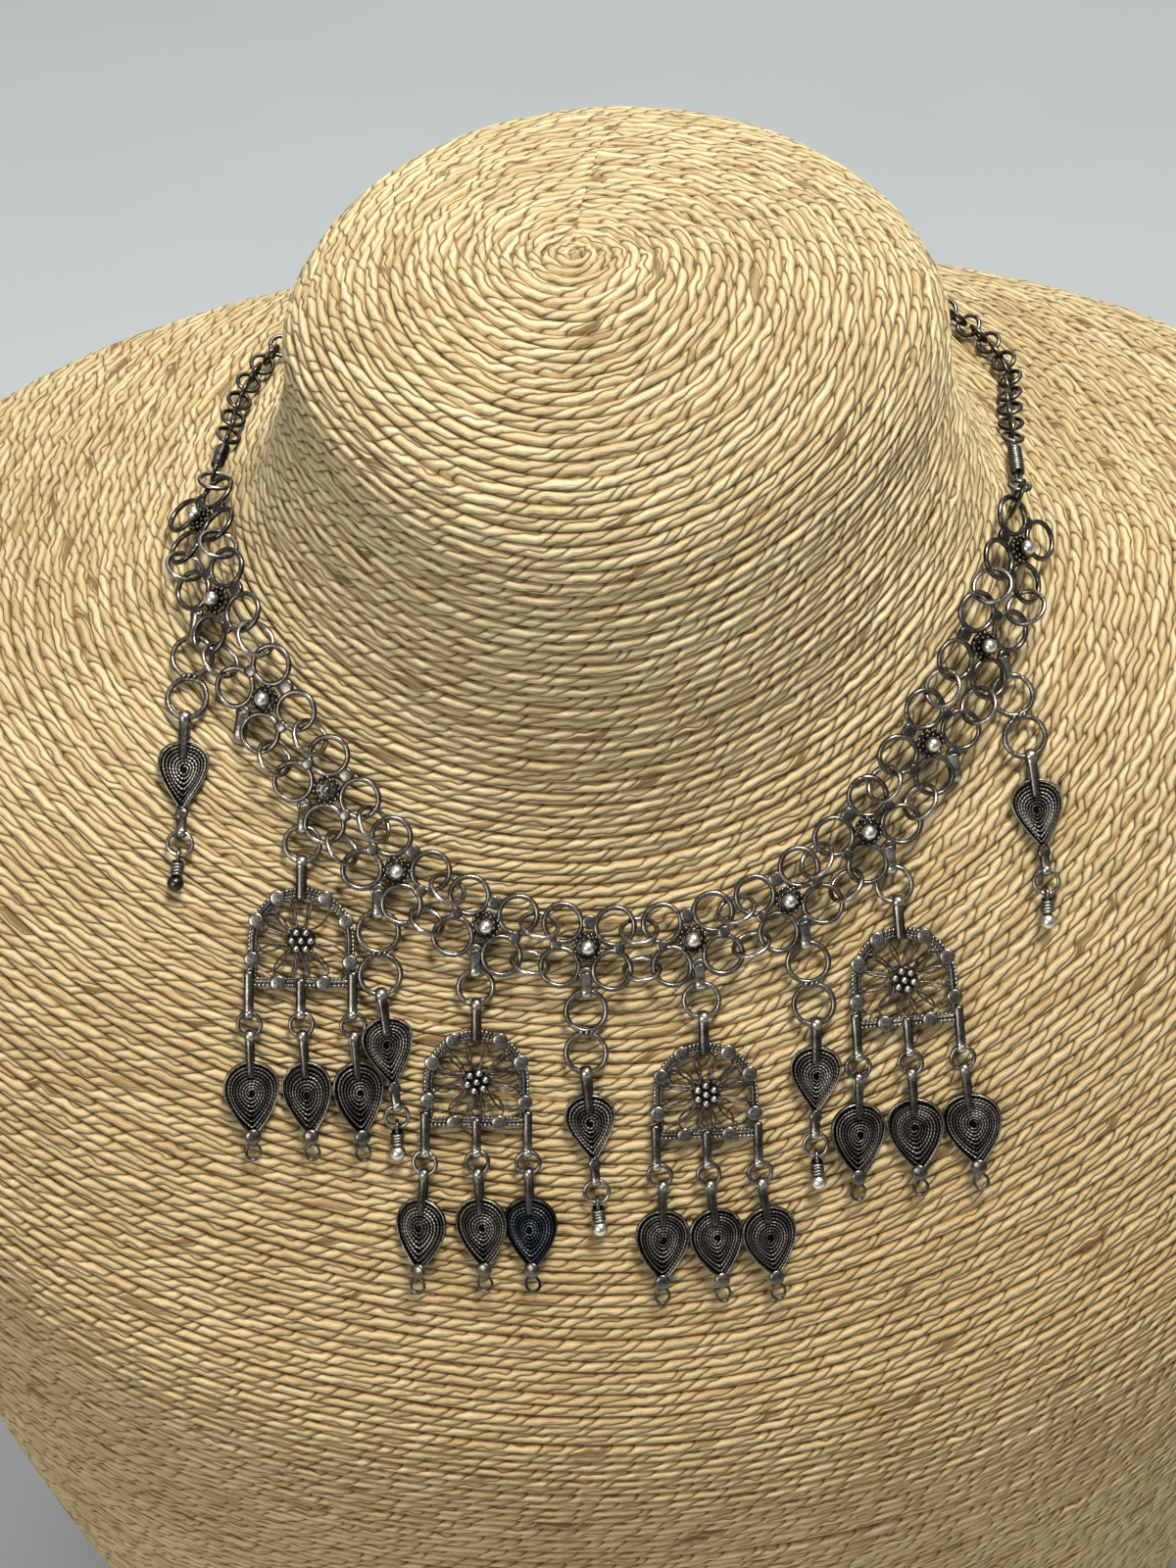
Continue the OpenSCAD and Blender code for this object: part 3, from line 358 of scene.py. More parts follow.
# The ends of the necklace, as in the solids
END_OD, CRESCENT_OD, CRESCENT_WALL, WRAP_WIRE, WRAP_LOOP_OD, WRAP_COIL_D = 6, 6.9, 1, 0.75, 4, 2.3
END_LIFT, END_GAP, CHAIN_LIFT, LINK_GAP, END_SPIN, BLEND_LINKS, LANE_LONG = 4, 0.8, 2.3, 0.28, 54, 6, 45
RING_R = (RING_OD - RING_WIRE) / 2
WRAP_R = (WRAP_LOOP_OD - WRAP_WIRE) / 2
CHAIN_R = (CHAIN_OD - CHAIN_WIRE) / 2
CHAIN_PITCH = 2 * CHAIN_R - CHAIN_WIRE - LINK_GAP
HOOK_LOOP_X = (HOOK_LEN - CHAIN_OD) / 2
HOOK_REACH = HOOK_LOOP_X + CHAIN_PITCH
ENDS = {
    -1: [-END_UNIT, END_OD / 2 - LINK_WIRE, WRAP_LEFT, s_at(-270) + HOOK_REACH],
    1: [END_UNIT, CRESCENT_OD / 2 - CRESCENT_WALL, WRAP_RIGHT, s_at(90) - HOOK_REACH],
}
HOOK_FRAME = route_frame(s_at(-270), CHAIN_LIFT, 5)


class End:
    """One end of the necklace: side is -1 at the left and 1 at the right."""

    def __init__(self, side):
        self.side = side
        self.unit, self.hole, self.wrap, self.hook_s = ENDS[side]
        self.s0 = unit_s(self.unit) + side * (RING_DX / 2 + RING_R)
        start = to_world(UNITS[self.unit], [side * RING_DX / 2, RING_DY / 2, 0])
        u = unit_vec(self.lane(self.s0 + 6 * side, END_LIFT) - start)
        p = start + u * (RING_R + self.hole - RING_WIRE / 2 - END_GAP)
        self.ring = self.aimed(p, p + u, self.s0)
        wrap_start = to_world(self.ring, [self.hole - LINK_GAP - WRAP_WIRE / 2 + WRAP_R, 0, 0])
        span = self.wrap - WRAP_LOOP_OD
        wrap_s = self.s0 + side * (2 * self.hole + WRAP_R + span)
        f = self.aimed(wrap_start, self.lane(wrap_s, CHAIN_LIFT), wrap_s - side * span / 2)
        self.wrapped = moved(f, [span / 2, 0, 0])
        self.chain_start = to_world(
            self.wrapped, [span / 2 + WRAP_R - (WRAP_WIRE + CHAIN_WIRE) / 2 - LINK_GAP + CHAIN_R, 0, 0])
        s = wrap_s + side * CHAIN_R
        here = self.lane(s, CHAIN_LIFT)
        ahead = unit_vec(self.lane(s + side, CHAIN_LIFT) - here)
        self.chain_s = s + side * ((self.chain_start - here) @ ahead)
        steps = abs(self.hook_s - self.chain_s) / CHAIN_PITCH
        self.links = 2 * ceil((steps - 1) / 2) + 1 if side < 0 else 2 * ceil(steps / 2)

    def on_lane(self, s):
        beside = RING_DY / 2 * fade(self.side * (s - self.s0) / LANE_LONG)
        return step(on_route(s), route_frame(s, 0, 2)[2] * beside)

    def lane(self, s, lift):
        return lifted(self.on_lane(s), lift)

    def aimed(self, p, to, s):
        u = unit_vec(to - p)
        v = unit_vec(np.cross(normal(self.on_lane(s)), u))
        return [p, u, v, np.cross(u, v)]

    def link_s(self, i):
        return self.chain_s + (self.hook_s - self.chain_s) * i / self.links

    def link_point(self, i):
        miss = self.chain_start - self.lane(self.chain_s, CHAIN_LIFT)
        end_miss = to_world(HOOK_FRAME, [-self.side * HOOK_REACH, 0, 0]) - self.lane(self.hook_s, CHAIN_LIFT)
        return (self.lane(self.link_s(i), CHAIN_LIFT) + miss * fade(i / BLEND_LINKS)
                + end_miss * fade((self.links - i) / BLEND_LINKS))

    def link_frame(self, i):
        p = self.link_point(i)
        f = self.aimed(p, p + self.link_point(i + 0.5) - self.link_point(i - 0.5), self.link_s(i))
        spin = (0 if i % 2 == 0 else -90) + 45 + (END_SPIN - 45) * fade(i / BLEND_LINKS)
        return spun(f, spin)


# Mesh making. A metal piece has plain silver first, coiled wire second and, on a leaf, plain silver again.
COILED, PLAIN_EXTRA = 1, 2


def add_object(name, data):
    item = bpy.data.objects.new(name, data)
    bpy.context.scene.collection.objects.link(item)
    return item


class Shape:
    """Collects quads in millimetres for one piece.

    tone runs from 0, dark in the hollows, to 1, worn bright. build then multiplies it by painted shade,
    darker on the side turned away from the outward direction.
    """

    def __init__(self):
        self.points, self.quads, self.uvs, self.tones, self.outs, self.mats = [], [], [], [], [], []
        self.count = 0

    def grid(self, points, uv, out, tone, mat=0, close_rows=False, close_cols=False, other_way=False,
             keep=slice(None)):
        """Adds the quads to keep of a grid. uv is for each point, or a list for the quads' four corners."""
        n, m = points.shape[:2]
        index = self.count + np.arange(n * m).reshape(n, m)
        if close_rows:
            index = np.vstack([index, index[:1]])
        if close_cols:
            index = np.hstack([index, index[:, :1]])
        corners = [index[:-1, :-1], index[1:, :-1], index[1:, 1:], index[:-1, 1:]]
        corner_uvs = uv if isinstance(uv, list) else [uv[:-1, :-1], uv[1:, :-1], uv[1:, 1:], uv[:-1, 1:]]
        if other_way:
            corners.reverse()
            corner_uvs.reverse()
        self.quads.append(np.stack(corners, -1).reshape(-1, 4)[keep])
        self.uvs.append(np.stack(corner_uvs, -2).reshape(-1, 4, 2)[keep].reshape(-1, 2))
        self.points.append(points.reshape(-1, 3))
        self.tones.append(np.broadcast_to(tone, (n, m)).reshape(-1))
        self.outs.append(np.broadcast_to(out, (n * m, 3)).copy())
        self.mats.append(np.full(len(self.quads[-1]), mat, np.int32))
        self.count += n * m

    def face(self, out):
        """Says which way is outward for the last grid's painted shade, instead of its own frame."""
        self.outs[-1][:] = out

    def build(self, node, materials=None, name=None):
        """Makes the piece that stands for this node of the solids."""
        name = name or node + "_metal"
        points = np.concatenate(self.points)
        quads = np.concatenate(self.quads).astype(np.int32)
        uvs = np.concatenate(self.uvs).astype(np.float32)
        mesh = bpy.data.meshes.new(name)
        mesh.vertices.add(len(points))
        mesh.vertices.foreach_set("co", (points * 0.001).astype(np.float32).ravel())
        mesh.loops.add(quads.size)
        mesh.loops.foreach_set("vertex_index", quads.ravel())
        mesh.polygons.add(len(quads))
        mesh.polygons.foreach_set("loop_start", np.arange(0, quads.size, 4, dtype=np.int32))
        mesh.polygons.foreach_set("loop_total", np.full(len(quads), 4, np.int32))
        mesh.polygons.foreach_set("material_index", np.concatenate(self.mats))
        mesh.polygons.foreach_set("use_smooth", np.ones(len(quads), bool))
        layer = mesh.uv_layers.new(name="along")
        layer.data.foreach_set("uv", uvs.ravel())
        for m in materials or SILVERS:
            mesh.materials.append(m)
        mesh.update(calc_edges=True)
        mesh.validate()
        normals = np.zeros(len(mesh.vertices) * 3, np.float32)
        mesh.vertices.foreach_get("normal", normals)
        # Painted shade: the side turned away from the outward direction is darkened, down to 0.12 times the
        # tone.
        facing_for_shade = np.einsum("ij,ij->i", normals.reshape(-1, 3), np.concatenate(self.outs))
        tone = np.concatenate(self.tones) * (0.45 + 0.55 * np.clip(facing_for_shade, -0.6, 1))
        mesh.attributes.new("tone", "FLOAT", "POINT").data.foreach_set("value", tone.astype(np.float32))
        piece = add_object(name, mesh)
        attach(piece, "root")
        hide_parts(node)


def smooth(points, per):
    """Smooth open curve through a few points, with this many steps from each to the next."""
    p = np.asarray(points, float)
    last = len(p) - 1
    out = []
    for i in range(last):
        a, b, c, d = [p[min(max(i + k, 0), last)] for k in (-1, 0, 1, 2)]
        out.extend(ease(a, b, c, d, j / per) for j in range(per))
    out.append(p[-1])
    return np.array(out)


def even(path, spacing):
    """The same path with points at an even spacing."""
    lengths = lengths_along(path)
    n = max(int(lengths[-1] / spacing), 3)
    return resampled(np.linspace(0, lengths[-1], n + 1), lengths, path)


def full_turn(n):
    return np.arange(n) * 2 * pi / n


def circle(radius, a):
    return np.stack([radius * np.cos(a), radius * np.sin(a), 0 * a], -1)


def uv_grid(along, columns):
    return np.stack(np.meshgrid(along, np.linspace(0, 1, columns + 1), indexing="ij"), -1)


def tube(s, f, path, radius, sides, tone, mat=0, closed=False, flat=1.0, flat_out=1.0, up=(0, 0, 1)):
    """Wire along a path in the frame f. flat scales it in the plane and flat_out along z."""
    p = np.asarray(path, float)
    tangent = unit_rows(np.roll(p, -1, 0) - np.roll(p, 1, 0) if closed else np.gradient(p, axis=0))
    across = unit_rows(np.cross(up, tangent), 1e-6)
    lift = np.cross(tangent, across)
    angles = full_turn(sides)
    r = np.broadcast_to(radius, len(p))[:, None, None]
    local = p[:, None] + r * (across[:, None] * (np.cos(angles) * flat)[None, :, None]
                              + lift[:, None] * (np.sin(angles) * flat_out)[None, :, None])
    uv = uv_grid(lengths_along(np.vstack([p, p[:1]]) if closed else p), sides)
    if not closed:
        caps = [np.broadcast_to(p[i], (1, sides, 3)) for i in (0, -1)]
        local = np.concatenate([caps[0], local, caps[1]])
        uv = np.concatenate([uv[:1], uv, uv[-1:]])
    s.grid(to_world(f, local), uv, f[3], tone, mat, close_rows=closed, close_cols=True, other_way=True)


def ring(s, f, od, wire, tone, seed=0.0, centre=(0, 0, 0), segments=60, sides=12, wobble=0.012, seam=True):
    """Hand-closed wire ring in the plane of x and y, with a fine joint in its wire."""
    a = full_turn(segments)
    r = (od - wire) / 2 * (1 + wobble * np.sin(2 * a + seed) + 0.4 * wobble * np.sin(3 * a + 2.1 * seed))
    path = circle(r, a) + np.array(centre)
    thick = wire / 2 * (1 + 0.04 * np.sin(a + 1.7 * seed) + 0.02 * np.sin(5 * a + seed))
    if seam:
        thick[int(seed * 7) % segments] *= 0.8
    tube(s, f, path, thick, sides, tone, closed=True)


def revolve(s, f, profile, tone, segments=24, square=0.0, centre=(0, 0, 0)):
    """Turned form about z from a list of radius and height."""
    prof = np.asarray(profile, float)
    a = full_turn(segments)
    shape = 1 + square * ((np.abs(np.cos(a)) ** 4 + np.abs(np.sin(a)) ** 4) ** -0.25 - 1)
    x = prof[:, :1] * np.cos(a) * shape
    y = prof[:, :1] * np.sin(a) * shape
    local = np.stack([x, y, np.broadcast_to(prof[:, 1:], x.shape)], -1) + np.array(centre)
    s.grid(to_world(f, local), uv_grid(lengths_along(prof), segments), f[3], tone, close_cols=True)


def ball(s, f, d, tone, centre=(0, 0, 0), segments=20, rows=12, squash=1.0):
    a = np.linspace(0, pi, rows + 1)
    profile = [(max(d / 2 * sin(x), 0.001), -d / 2 * cos(x) * squash) for x in a][::-1]
    revolve(s, f, profile, tone, segments, centre=centre)


def disc(s, f, d, t, tone, centre=(0, 0, 0), square=0.0, dome=0.1):
    r, h = d / 2, t / 2
    profile = [(0.001, h + dome), (r * 0.5, h + dome * 0.8), (r * 0.82, h + dome * 0.25),
               (r * 0.95, h - 0.06), (r, h - 0.16), (r, 0.08 - h), (r * 0.93, -h), (0.001, -h)]
    revolve(s, f, profile, tone, 24, square, centre)


def ribbon(s, f, p, w, tone):
    """Flat strap along a path p of y and z, with its width w at each point, domed across."""
    tangent = unit_rows(np.gradient(p, axis=0))
    out = np.stack([-tangent[:, 1], tangent[:, 0]], -1)
    section = [(-0.5, 0.3), (-0.36, 0.75), (-0.18, 0.95), (0, 1), (0.18, 0.95), (0.36, 0.75), (0.5, 0.3),
               (0.5, -1), (0.3, -1.15), (-0.3, -1.15), (-0.5, -1)]
    rows = []
    for x, high in section:
        lift = STRAP_T / 2 * high + (STRAP_DOME * w * (1 - (2 * x) ** 2) if high > 0 else 0)
        rows.append(np.stack([x * w, p[:, 0] + out[:, 0] * lift, p[:, 1] + out[:, 1] * lift], -1))
    local = np.stack(rows, 1)
    caps = [np.broadcast_to(local[i].mean(0), (1,) + local[i].shape) for i in (0, -1)]
    local = np.concatenate([caps[0], local, caps[1]])
    lengths = lengths_along(p)
    uv = uv_grid(np.concatenate([lengths[:1], lengths, lengths[-1:]]), len(section))
    s.grid(to_world(f, local), uv, f[3], tone, close_cols=True, other_way=True)


def strap(s, f, width, wire, tail, back, front_z, tone, end_width):
    """Strap over the wire at the origin, with its front running down -y to the tail."""
    r = wire / 2 + STRAP_PLAY + STRAP_T / 2
    turn = [(r * sin(a), r * cos(a)) for a in np.radians(np.arange(-35, 216, 25))]
    front = [(-tail, front_z - 0.05), (-tail * 0.72, front_z), (-tail * 0.45, front_z),
             (-min(tail * 0.28, 1.5), 0.45 * (front_z + r))]
    rear = [(-min(back * 0.45, 1.6), -0.42), (-back, -0.3)]
    path = smooth(front + turn + rear, 3)
    grow = np.clip(np.linspace(0, 2.2, len(path)), 0, 1)
    w = width * (end_width + (1 - end_width) * grow)
    # Partly worn silver and partly painted highlight: the fold over the wire is brightened in the base
    # colour.
    fold = fade(np.abs(path[:, 0] - 0.2) / 1.8)
    wear_and_highlight = tone + (1 - tone) * 0.75 * fold
    ribbon(s, f, path, w, wear_and_highlight[np.r_[0, 0:len(path), -1]][:, None])


def granules(s, f, count, r, d, tone, z, turn, segments=8, rows=6):
    """Small balls set round a circle."""
    for i in range(count):
        a = i * 2 * pi / count + turn
        ball(s, f, d, tone, (r * cos(a), r * sin(a), z), segments, rows)


def bead_row(s, f, path, d, tone, z):
    """Small balls set side by side along a path."""
    for i, p in enumerate(even(path, d)[:-1]):
        ball(s, f, d * (1 + 0.1 * sin(i * 2.3)), tone, (p[0], p[1], p[2] + z), 8, 6)


def outline(w, h, p, n, shift=(0, 0)):
    """Leaf outline of n points, round above and drawn out to a tip below."""
    k = 1 / (1 + 2 * p)
    widest = sqrt(1 - k * k) * ((1 + k) / 2) ** p
    a = np.radians(-90 + np.arange(n) * 360 / n)
    x = w / 2 / widest * np.cos(a) * ((1 + np.sin(a)) / 2) ** p
    return np.stack([x + shift[0], h / 2 * np.sin(a) + shift[1], 0 * a], -1)


def filigree(s, f, w, h, p, seed, tone, pitch, slip=0.0, dark=False):
    """Plate of one twisted wire coiled from a thin polished rim to an eye. f is at its middle."""
    rim = outline(w - 0.3, h - 0.4, p, 84)
    tube(s, f, rim, 0.3, 8, 0.5 if dark else 0.72, closed=True, flat=0.62, flat_out=1.55)
    eye = np.array([0.25 * sin(seed * 2.1), h * (0.09 + 0.02 * sin(seed)), 0])
    inner = outline(w - 1.0, h - 1.5, p, 90, (slip * 0.3, -slip)) - eye
    a = np.radians(-90 + np.arange(90) * 4)
    round_coil = circle((w - 1.0) / 2, a)
    turns = (w / 2 - 0.55) / pitch
    n = int(turns * 90)
    u = np.arange(n) / 90
    share = (1 - u / turns * 0.87)[:, None]
    path = eye + share * (inner[np.arange(n) % 90] * share + round_coil[np.arange(n) % 90] * (1 - share))
    share = share[:, 0]
    path[:, 0] += 0.05 * np.sin(u * 2 * pi * 3 + seed) * share
    path[:, 1] += 0.05 * np.sin(u * 2 * pi * 2 + 2 * seed) * share
    path[:, 2] = 0.16 * (1 - share) + 0.035 * np.sin(u * 2.9 + seed) + 0.14
    path = even(path, 0.31)
    wire = pitch * (0.33 + 0.03 * np.sin(np.arange(len(path)) * 0.061 + seed))
    bright = tone * (1 + 0.25 * np.sin(np.arange(len(path)) * 0.023 + 2 * seed))
    bright = bright[np.r_[0, 0:len(path), -1]][:, None]
    tube(s, f, path, wire, 5, bright, mat=COILED, flat_out=1.3)
    back = outline(w - 0.7, h - 1.0, p, 40)
    rows = np.stack([back * k for k in (1.0, 0.6, 0.02)])
    rows[..., 2] = -0.12
    s.grid(to_world(f, rows), uv_grid(np.arange(3.0), 40), f[3], 0.02, close_cols=True, other_way=True)


# Materials
WIRE_TWIST, ROPE_TWIST, WHITE = 0.62, 4.4, (1.0, 1.0, 1.0)


class Graph:
    """Short ways to add nodes to a tree. A socket takes a number or another node's output."""

    def __init__(self, tree):
        self.tree = tree

    def fill(self, n, sockets):
        for key, value in sockets.items():
            if isinstance(value, (int, float)):
                n.inputs[key].default_value = value
            else:
                self.tree.links.new(value, n.inputs[key])

    def node(self, kind, sockets=None, **values):
        n = self.tree.nodes.new(kind)
        for key, value in values.items():
            setattr(n, key, value)
        self.fill(n, sockets or {})
        return n

    def math(self, op, a, b=0.0, clamp=False):
        return self.node("ShaderNodeMath", {0: a, 1: b}, operation=op, use_clamp=clamp).outputs[0]

    def times(self, a, b, clamp=False):
        return self.math("MULTIPLY", a, b, clamp)

    def weighted(self, *pairs):
        """Sum of values, each times its weight."""
        total = self.times(*pairs[0])
        for value, weight in pairs[1:]:
            total = self.math("ADD", total, self.times(value, weight))
        return total

    def ridge(self, phase):
        """Round ridges, one for each whole step of the phase."""
        return self.math("ABSOLUTE", self.math("SINE", self.times(phase, pi)))

    def join(self, *parts):
        return self.node("ShaderNodeCombineXYZ", dict(enumerate(parts))).outputs[0]

    def split(self, vector):
        return self.node("ShaderNodeSeparateXYZ", {0: vector}).outputs

    def where(self):
        return self.node("ShaderNodeTexCoord").outputs["Object"]

    def along(self):
        return self.split(self.node("ShaderNodeUVMap", uv_map="along").outputs[0])

    def chance(self, sockets, dimensions):
        return self.node("ShaderNodeTexWhiteNoise", sockets, noise_dimensions=dimensions).outputs["Value"]

    def tinted(self, colour, tint):
        sockets = {0: 1.0, 6: colour, 7: tint}
        return self.node("ShaderNodeMix", sockets, data_type="RGBA", blend_type="MULTIPLY").outputs[2]

    def noise(self, vector, scale, detail=3.0, rough=0.55):
        sockets = {"Vector": vector, "Scale": scale, "Detail": detail, "Roughness": rough}
        return self.node("ShaderNodeTexNoise", sockets).outputs["Fac"]

    def ramp(self, fac, stops):
        n = self.node("ShaderNodeValToRGB", {0: fac})
        e = n.color_ramp.elements
        while len(e) < len(stops):
            e.new(0.5)
        for item, (at, colour) in zip(e, stops):
            item.position = at
            item.color = (*colour, 1)
        return n.outputs[0]

    def remap(self, *values):
        """The first value, from the range of the next two to the range of the last two."""
        return self.node("ShaderNodeMapRange", dict(enumerate(values))).outputs[0]

    def bump(self, height, distance, strength, **below):
        sockets = {"Strength": strength, "Distance": distance, "Height": height, **below}
        return self.node("ShaderNodeBump", sockets).outputs[0]


def new_material(name):
    m = bpy.data.materials.new(name)
    m.use_nodes = True
    m.node_tree.nodes.clear()
    g = Graph(m.node_tree)
    shader = g.node("ShaderNodeBsdfPrincipled")
    g.node("ShaderNodeOutputMaterial", {0: shader.outputs[0]})
    return m, g, shader


def silver(name, stops, twisted=False, rough=(0.16, 0.42)):
    """Old silver: dark oxide in the hollows, worn bright where it stands out, and painted shade on the side
    turned away from the outward direction, from the tone attribute.
    """
    m, g, shader = new_material(name)
    where = g.where()
    # tone holds the patina and the painted shade made in Shape.build.
    tone = g.node("ShaderNodeAttribute", attribute_name="tone").outputs["Fac"]
    blotch = g.noise(where, 420, 4.0, 0.6)
    fine = g.noise(where, 3200, 3.0, 0.6)
    fac = g.math("ADD", tone, g.times(g.math("SUBTRACT", blotch, 0.5), 0.55))
    fac = g.math("ADD", fac, g.times(g.math("SUBTRACT", fine, 0.5), 0.22), clamp=True)
    bumped = g.bump(g.weighted((fine, 0.25), (blotch, 0.6)), 0.00006, 0.7)
    if twisted:
        u, v = g.along()[:2]
        wave = g.ridge(g.math("ADD", g.times(u, 1 / WIRE_TWIST), v))
        fac = g.times(fac, g.remap(wave, 0.0, 1.0, 0.45, 1.15), clamp=True)
        bumped = g.bump(wave, 0.00009, 0.7, Normal=bumped)
    g.fill(shader, {"Base Color": g.ramp(fac, stops), "Roughness": g.remap(fine, 0.3, 0.7, *rough),
                    "Metallic": 1.0, "Normal": bumped})
    return m


OXIDE = [(0.0, (0.010, 0.009, 0.008)), (0.3, (0.045, 0.039, 0.033)), (0.55, (0.17, 0.152, 0.13)),
         (0.8, (0.44, 0.41, 0.36)), (1.0, (0.84, 0.80, 0.72))]
BLUED = [(0.0, (0.005, 0.006, 0.007)), (0.3, (0.016, 0.019, 0.023)), (0.6, (0.060, 0.070, 0.082)),
         (1.0, (0.46, 0.47, 0.48))]
plain = silver("old_silver", OXIDE)
coiled = silver("coiled_silver_wire", OXIDE, True, (0.26, 0.48))
SILVERS = [plain, coiled]
plain_blue = silver("blackened_silver", BLUED)
coiled_blue = silver("blackened_silver_wire", BLUED, True, (0.3, 0.5))


def straw_rope():
    """Two-ply twisted paper rope. u runs along the rope in millimetres, v counts the turns across."""
    m, g, shader = new_material("paper_rope")
    u, v = g.along()[:2]
    row, across = g.math("FLOOR", v), g.math("FRACT", v)
    drift = g.noise(g.join(g.times(u, 0.11), row), 1.0, 2.0)
    start = g.chance({"W": row}, "1D")
    phase = g.weighted((u, 1 / ROPE_TWIST), (start, 7.0), (drift, 4.5), (across, 1.25))
    strand = g.math("FLOOR", phase)
    ply = g.math("POWER", g.ridge(phase), 0.7)
    from_middle = g.math("ABSOLUTE", g.math("SUBTRACT", g.times(across, 2.0), 1.0))
    crest = g.math("SUBTRACT", 1.0, g.math("POWER", from_middle, 2.4))
    cell = g.chance({"Vector": g.join(strand, row)}, "2D")
    fibre_at = g.join(g.weighted((u, 0.5), (across, 2.2)), g.times(across, 7.0),
                      g.weighted((row, 3.7), (strand, 1.3)))
    fibre = g.noise(fibre_at, 1.0, 5.0, 0.62)
    crease = g.noise(fibre_at, 2.6, 3.0, 0.6)
    where = g.where()
    cloud = g.noise(where, 22, 3.0)
    shade = g.weighted((fibre, 0.42), (cell, 0.16), (cloud, 0.16), (crease, 0.18))
    # Painted shade: deep is low in the crevices between the two plies and between the turns of rope, and over
    # the crests of the rare strands that gap picks out.
    gap = g.remap(cell, 0.975, 0.99, 1.0, 0.12)
    deep = g.times(g.remap(ply, 0.0, 0.62, 0.12, 1.0), g.remap(crest, 0.0, 0.75, 0.12, 1.0))
    thin = g.math("MAXIMUM", gap, g.remap(ply, 0.55, 0.9, 1.0, 0.0))
    deep = g.times(deep, g.math("MAXIMUM", thin, gap))
    colour = g.ramp(shade, [(0.25, (0.38, 0.27, 0.125)), (0.40, (0.62, 0.49, 0.26)),
                            (0.55, (0.80, 0.68, 0.41)), (0.72, (0.94, 0.85, 0.60))])
    # Painted light: the top of the bust is made lighter and cooler in the base colour, as if lit from above.
    level = g.remap(g.split(where)[2], 0.17, 0.30, 0.0, 1.0)
    painted_top_light = g.ramp(level, [(0.0, (0.92, 0.84, 0.74)), (1.0, WHITE)])
    # Painted shade: the base colour turns dark brown in the crevices that deep marks.
    painted_crevice_shade = g.ramp(deep, [(0.0, (0.20, 0.13, 0.07)), (0.45, (0.62, 0.52, 0.40)), (1.0, WHITE)])
    height = g.weighted((ply, 1.1), (fibre, 0.5), (crease, 0.35))
    g.fill(shader, {"Base Color": g.tinted(g.tinted(colour, painted_top_light), painted_crevice_shade), "Roughness": 0.62,
                    "Specular IOR Level": 0.35, "Normal": g.bump(height, 0.0008, 1.0)})
    return m


rope = straw_rope()


# The bust: turns of rope at an even spacing along the surface from the middle of the top
ROPE_PITCH, ROPE_DEEP, COLUMNS = 2.1, 0.85, 216
CROWN_SHIFT, CROWN_STATIONS, LUMPS, PART_ENDS = -6.0, 2.6, 40, (0.30, 0.56, 0.78)
PROFILE = [(0.0, 0.0), (0.13, 0.62), (0.34, 0.96), (0.66, 0.96), (0.87, 0.62)]


def wound_bust():
    fine = np.linspace(0, LAST, 1401)
    heart = fade(fine / CROWN_STATIONS)
    heart = (heart * heart * (3 - 2 * heart))[:, None] * np.array([CROWN_SHIFT, CROWN_SHIFT, 0.0])
    phis = 90 + np.arange(COLUMNS + 1) * 360 / COLUMNS
    columns, normals, lengths = [], [], []
    for phi in phis:
        before, here, beside = [surf(fine, phi + turn) + heart for turn in (-0.5, 0, 0.5)]
        n = np.cross(np.gradient(here, axis=0), beside - before)
        n[0] = (0, 0, 1)
        columns.append(here)
        normals.append(unit_rows(n))
        lengths.append(lengths_along(here))
    turns = int(max(x[-1] for x in lengths) / ROPE_PITCH) + 2
    v = np.array([r + c for r in range(turns) for c, _ in PROFILE] + [turns])
    high = np.array([h for _, h in PROFILE] * turns + [0.0])
    rows = np.floor(v).astype(int)
    points = np.zeros((len(v), COLUMNS + 1, 3))
    kept = np.zeros((len(v), COLUMNS + 1), bool)
    lumps = np.random.default_rng(5).normal(0, 1, (turns + 1, LUMPS))
    for j in range(COLUMNS + 1):
        s = np.clip(ROPE_PITCH * (v - 1 + j / COLUMNS), 0, None)
        wave = np.array([np.interp(j / COLUMNS * (LUMPS - 1), np.arange(LUMPS), lumps[r]) for r in rows])
        lift = -ROPE_DEEP + ROPE_DEEP * high * (1 + 0.11 * wave)
        kept[:, j] = s <= lengths[j][-1]
        s = np.clip(s + 0.13 * wave, 0, lengths[j][-1])
        at, n = [resampled(s, lengths[j], x[j]) for x in (columns, normals)]
        points[:, j] = at + n * lift[:, None]
        points[:, j, 2] = np.maximum(points[:, j, 2], 0.0)
    around = np.linalg.norm(np.diff(points, axis=1), axis=2)
    along = np.concatenate([np.zeros((len(v), 1)), np.cumsum(around, axis=1)], 1)
    steps = len(PROFILE)
    cuts = [0, *(int(turns * end) for end in PART_ENDS), turns]
    for name, a, b in zip(("top", "neck", "shoulders", "foot"), cuts, cuts[1:]):
        shape = Shape()
        part = slice(a * steps, b * steps + 1)
        u = along[np.minimum(rows[part][:-1] * steps + 2, len(v) - 1)]
        low, high_v = [np.broadcast_to(x[:, None], u[:, 1:].shape) for x in (v[part][:-1], v[part][1:])]
        corners = [(u[:, :-1], low), (u[:, :-1], high_v), (u[:, 1:], high_v), (u[:, 1:], low)]
        good = (kept[part][:-1, :-1] & kept[part][:-1, 1:]).reshape(-1)
        shape.grid(points[part], [np.stack(c, -1) for c in corners], np.array([0, 0, 1.0]), 1.0, keep=good)
        if b == turns:
            rim = np.array([surf(float(LAST), phi) for phi in phis])
            base = np.stack([rim, rim * 0.02])
            base[..., 2] = 0.0
            shape.grid(base, np.zeros((2, COLUMNS + 1, 2)), np.array([0, 0, -1.0]), 1.0)
        shape.build("bust", [rope], "bust_rope_" + name)


wound_bust()


# The units and the rings between them
DISC_D, SIDE_DISC_D, DISC_T, COLLAR_R, INNER_R, UNIT_BALL_D, STUMP_D = 2.3, 1.95, 0.75, 2.02, 1.35, 2.5, 1.3
BRIGHT, BLACKENED = 1.15, 0.35


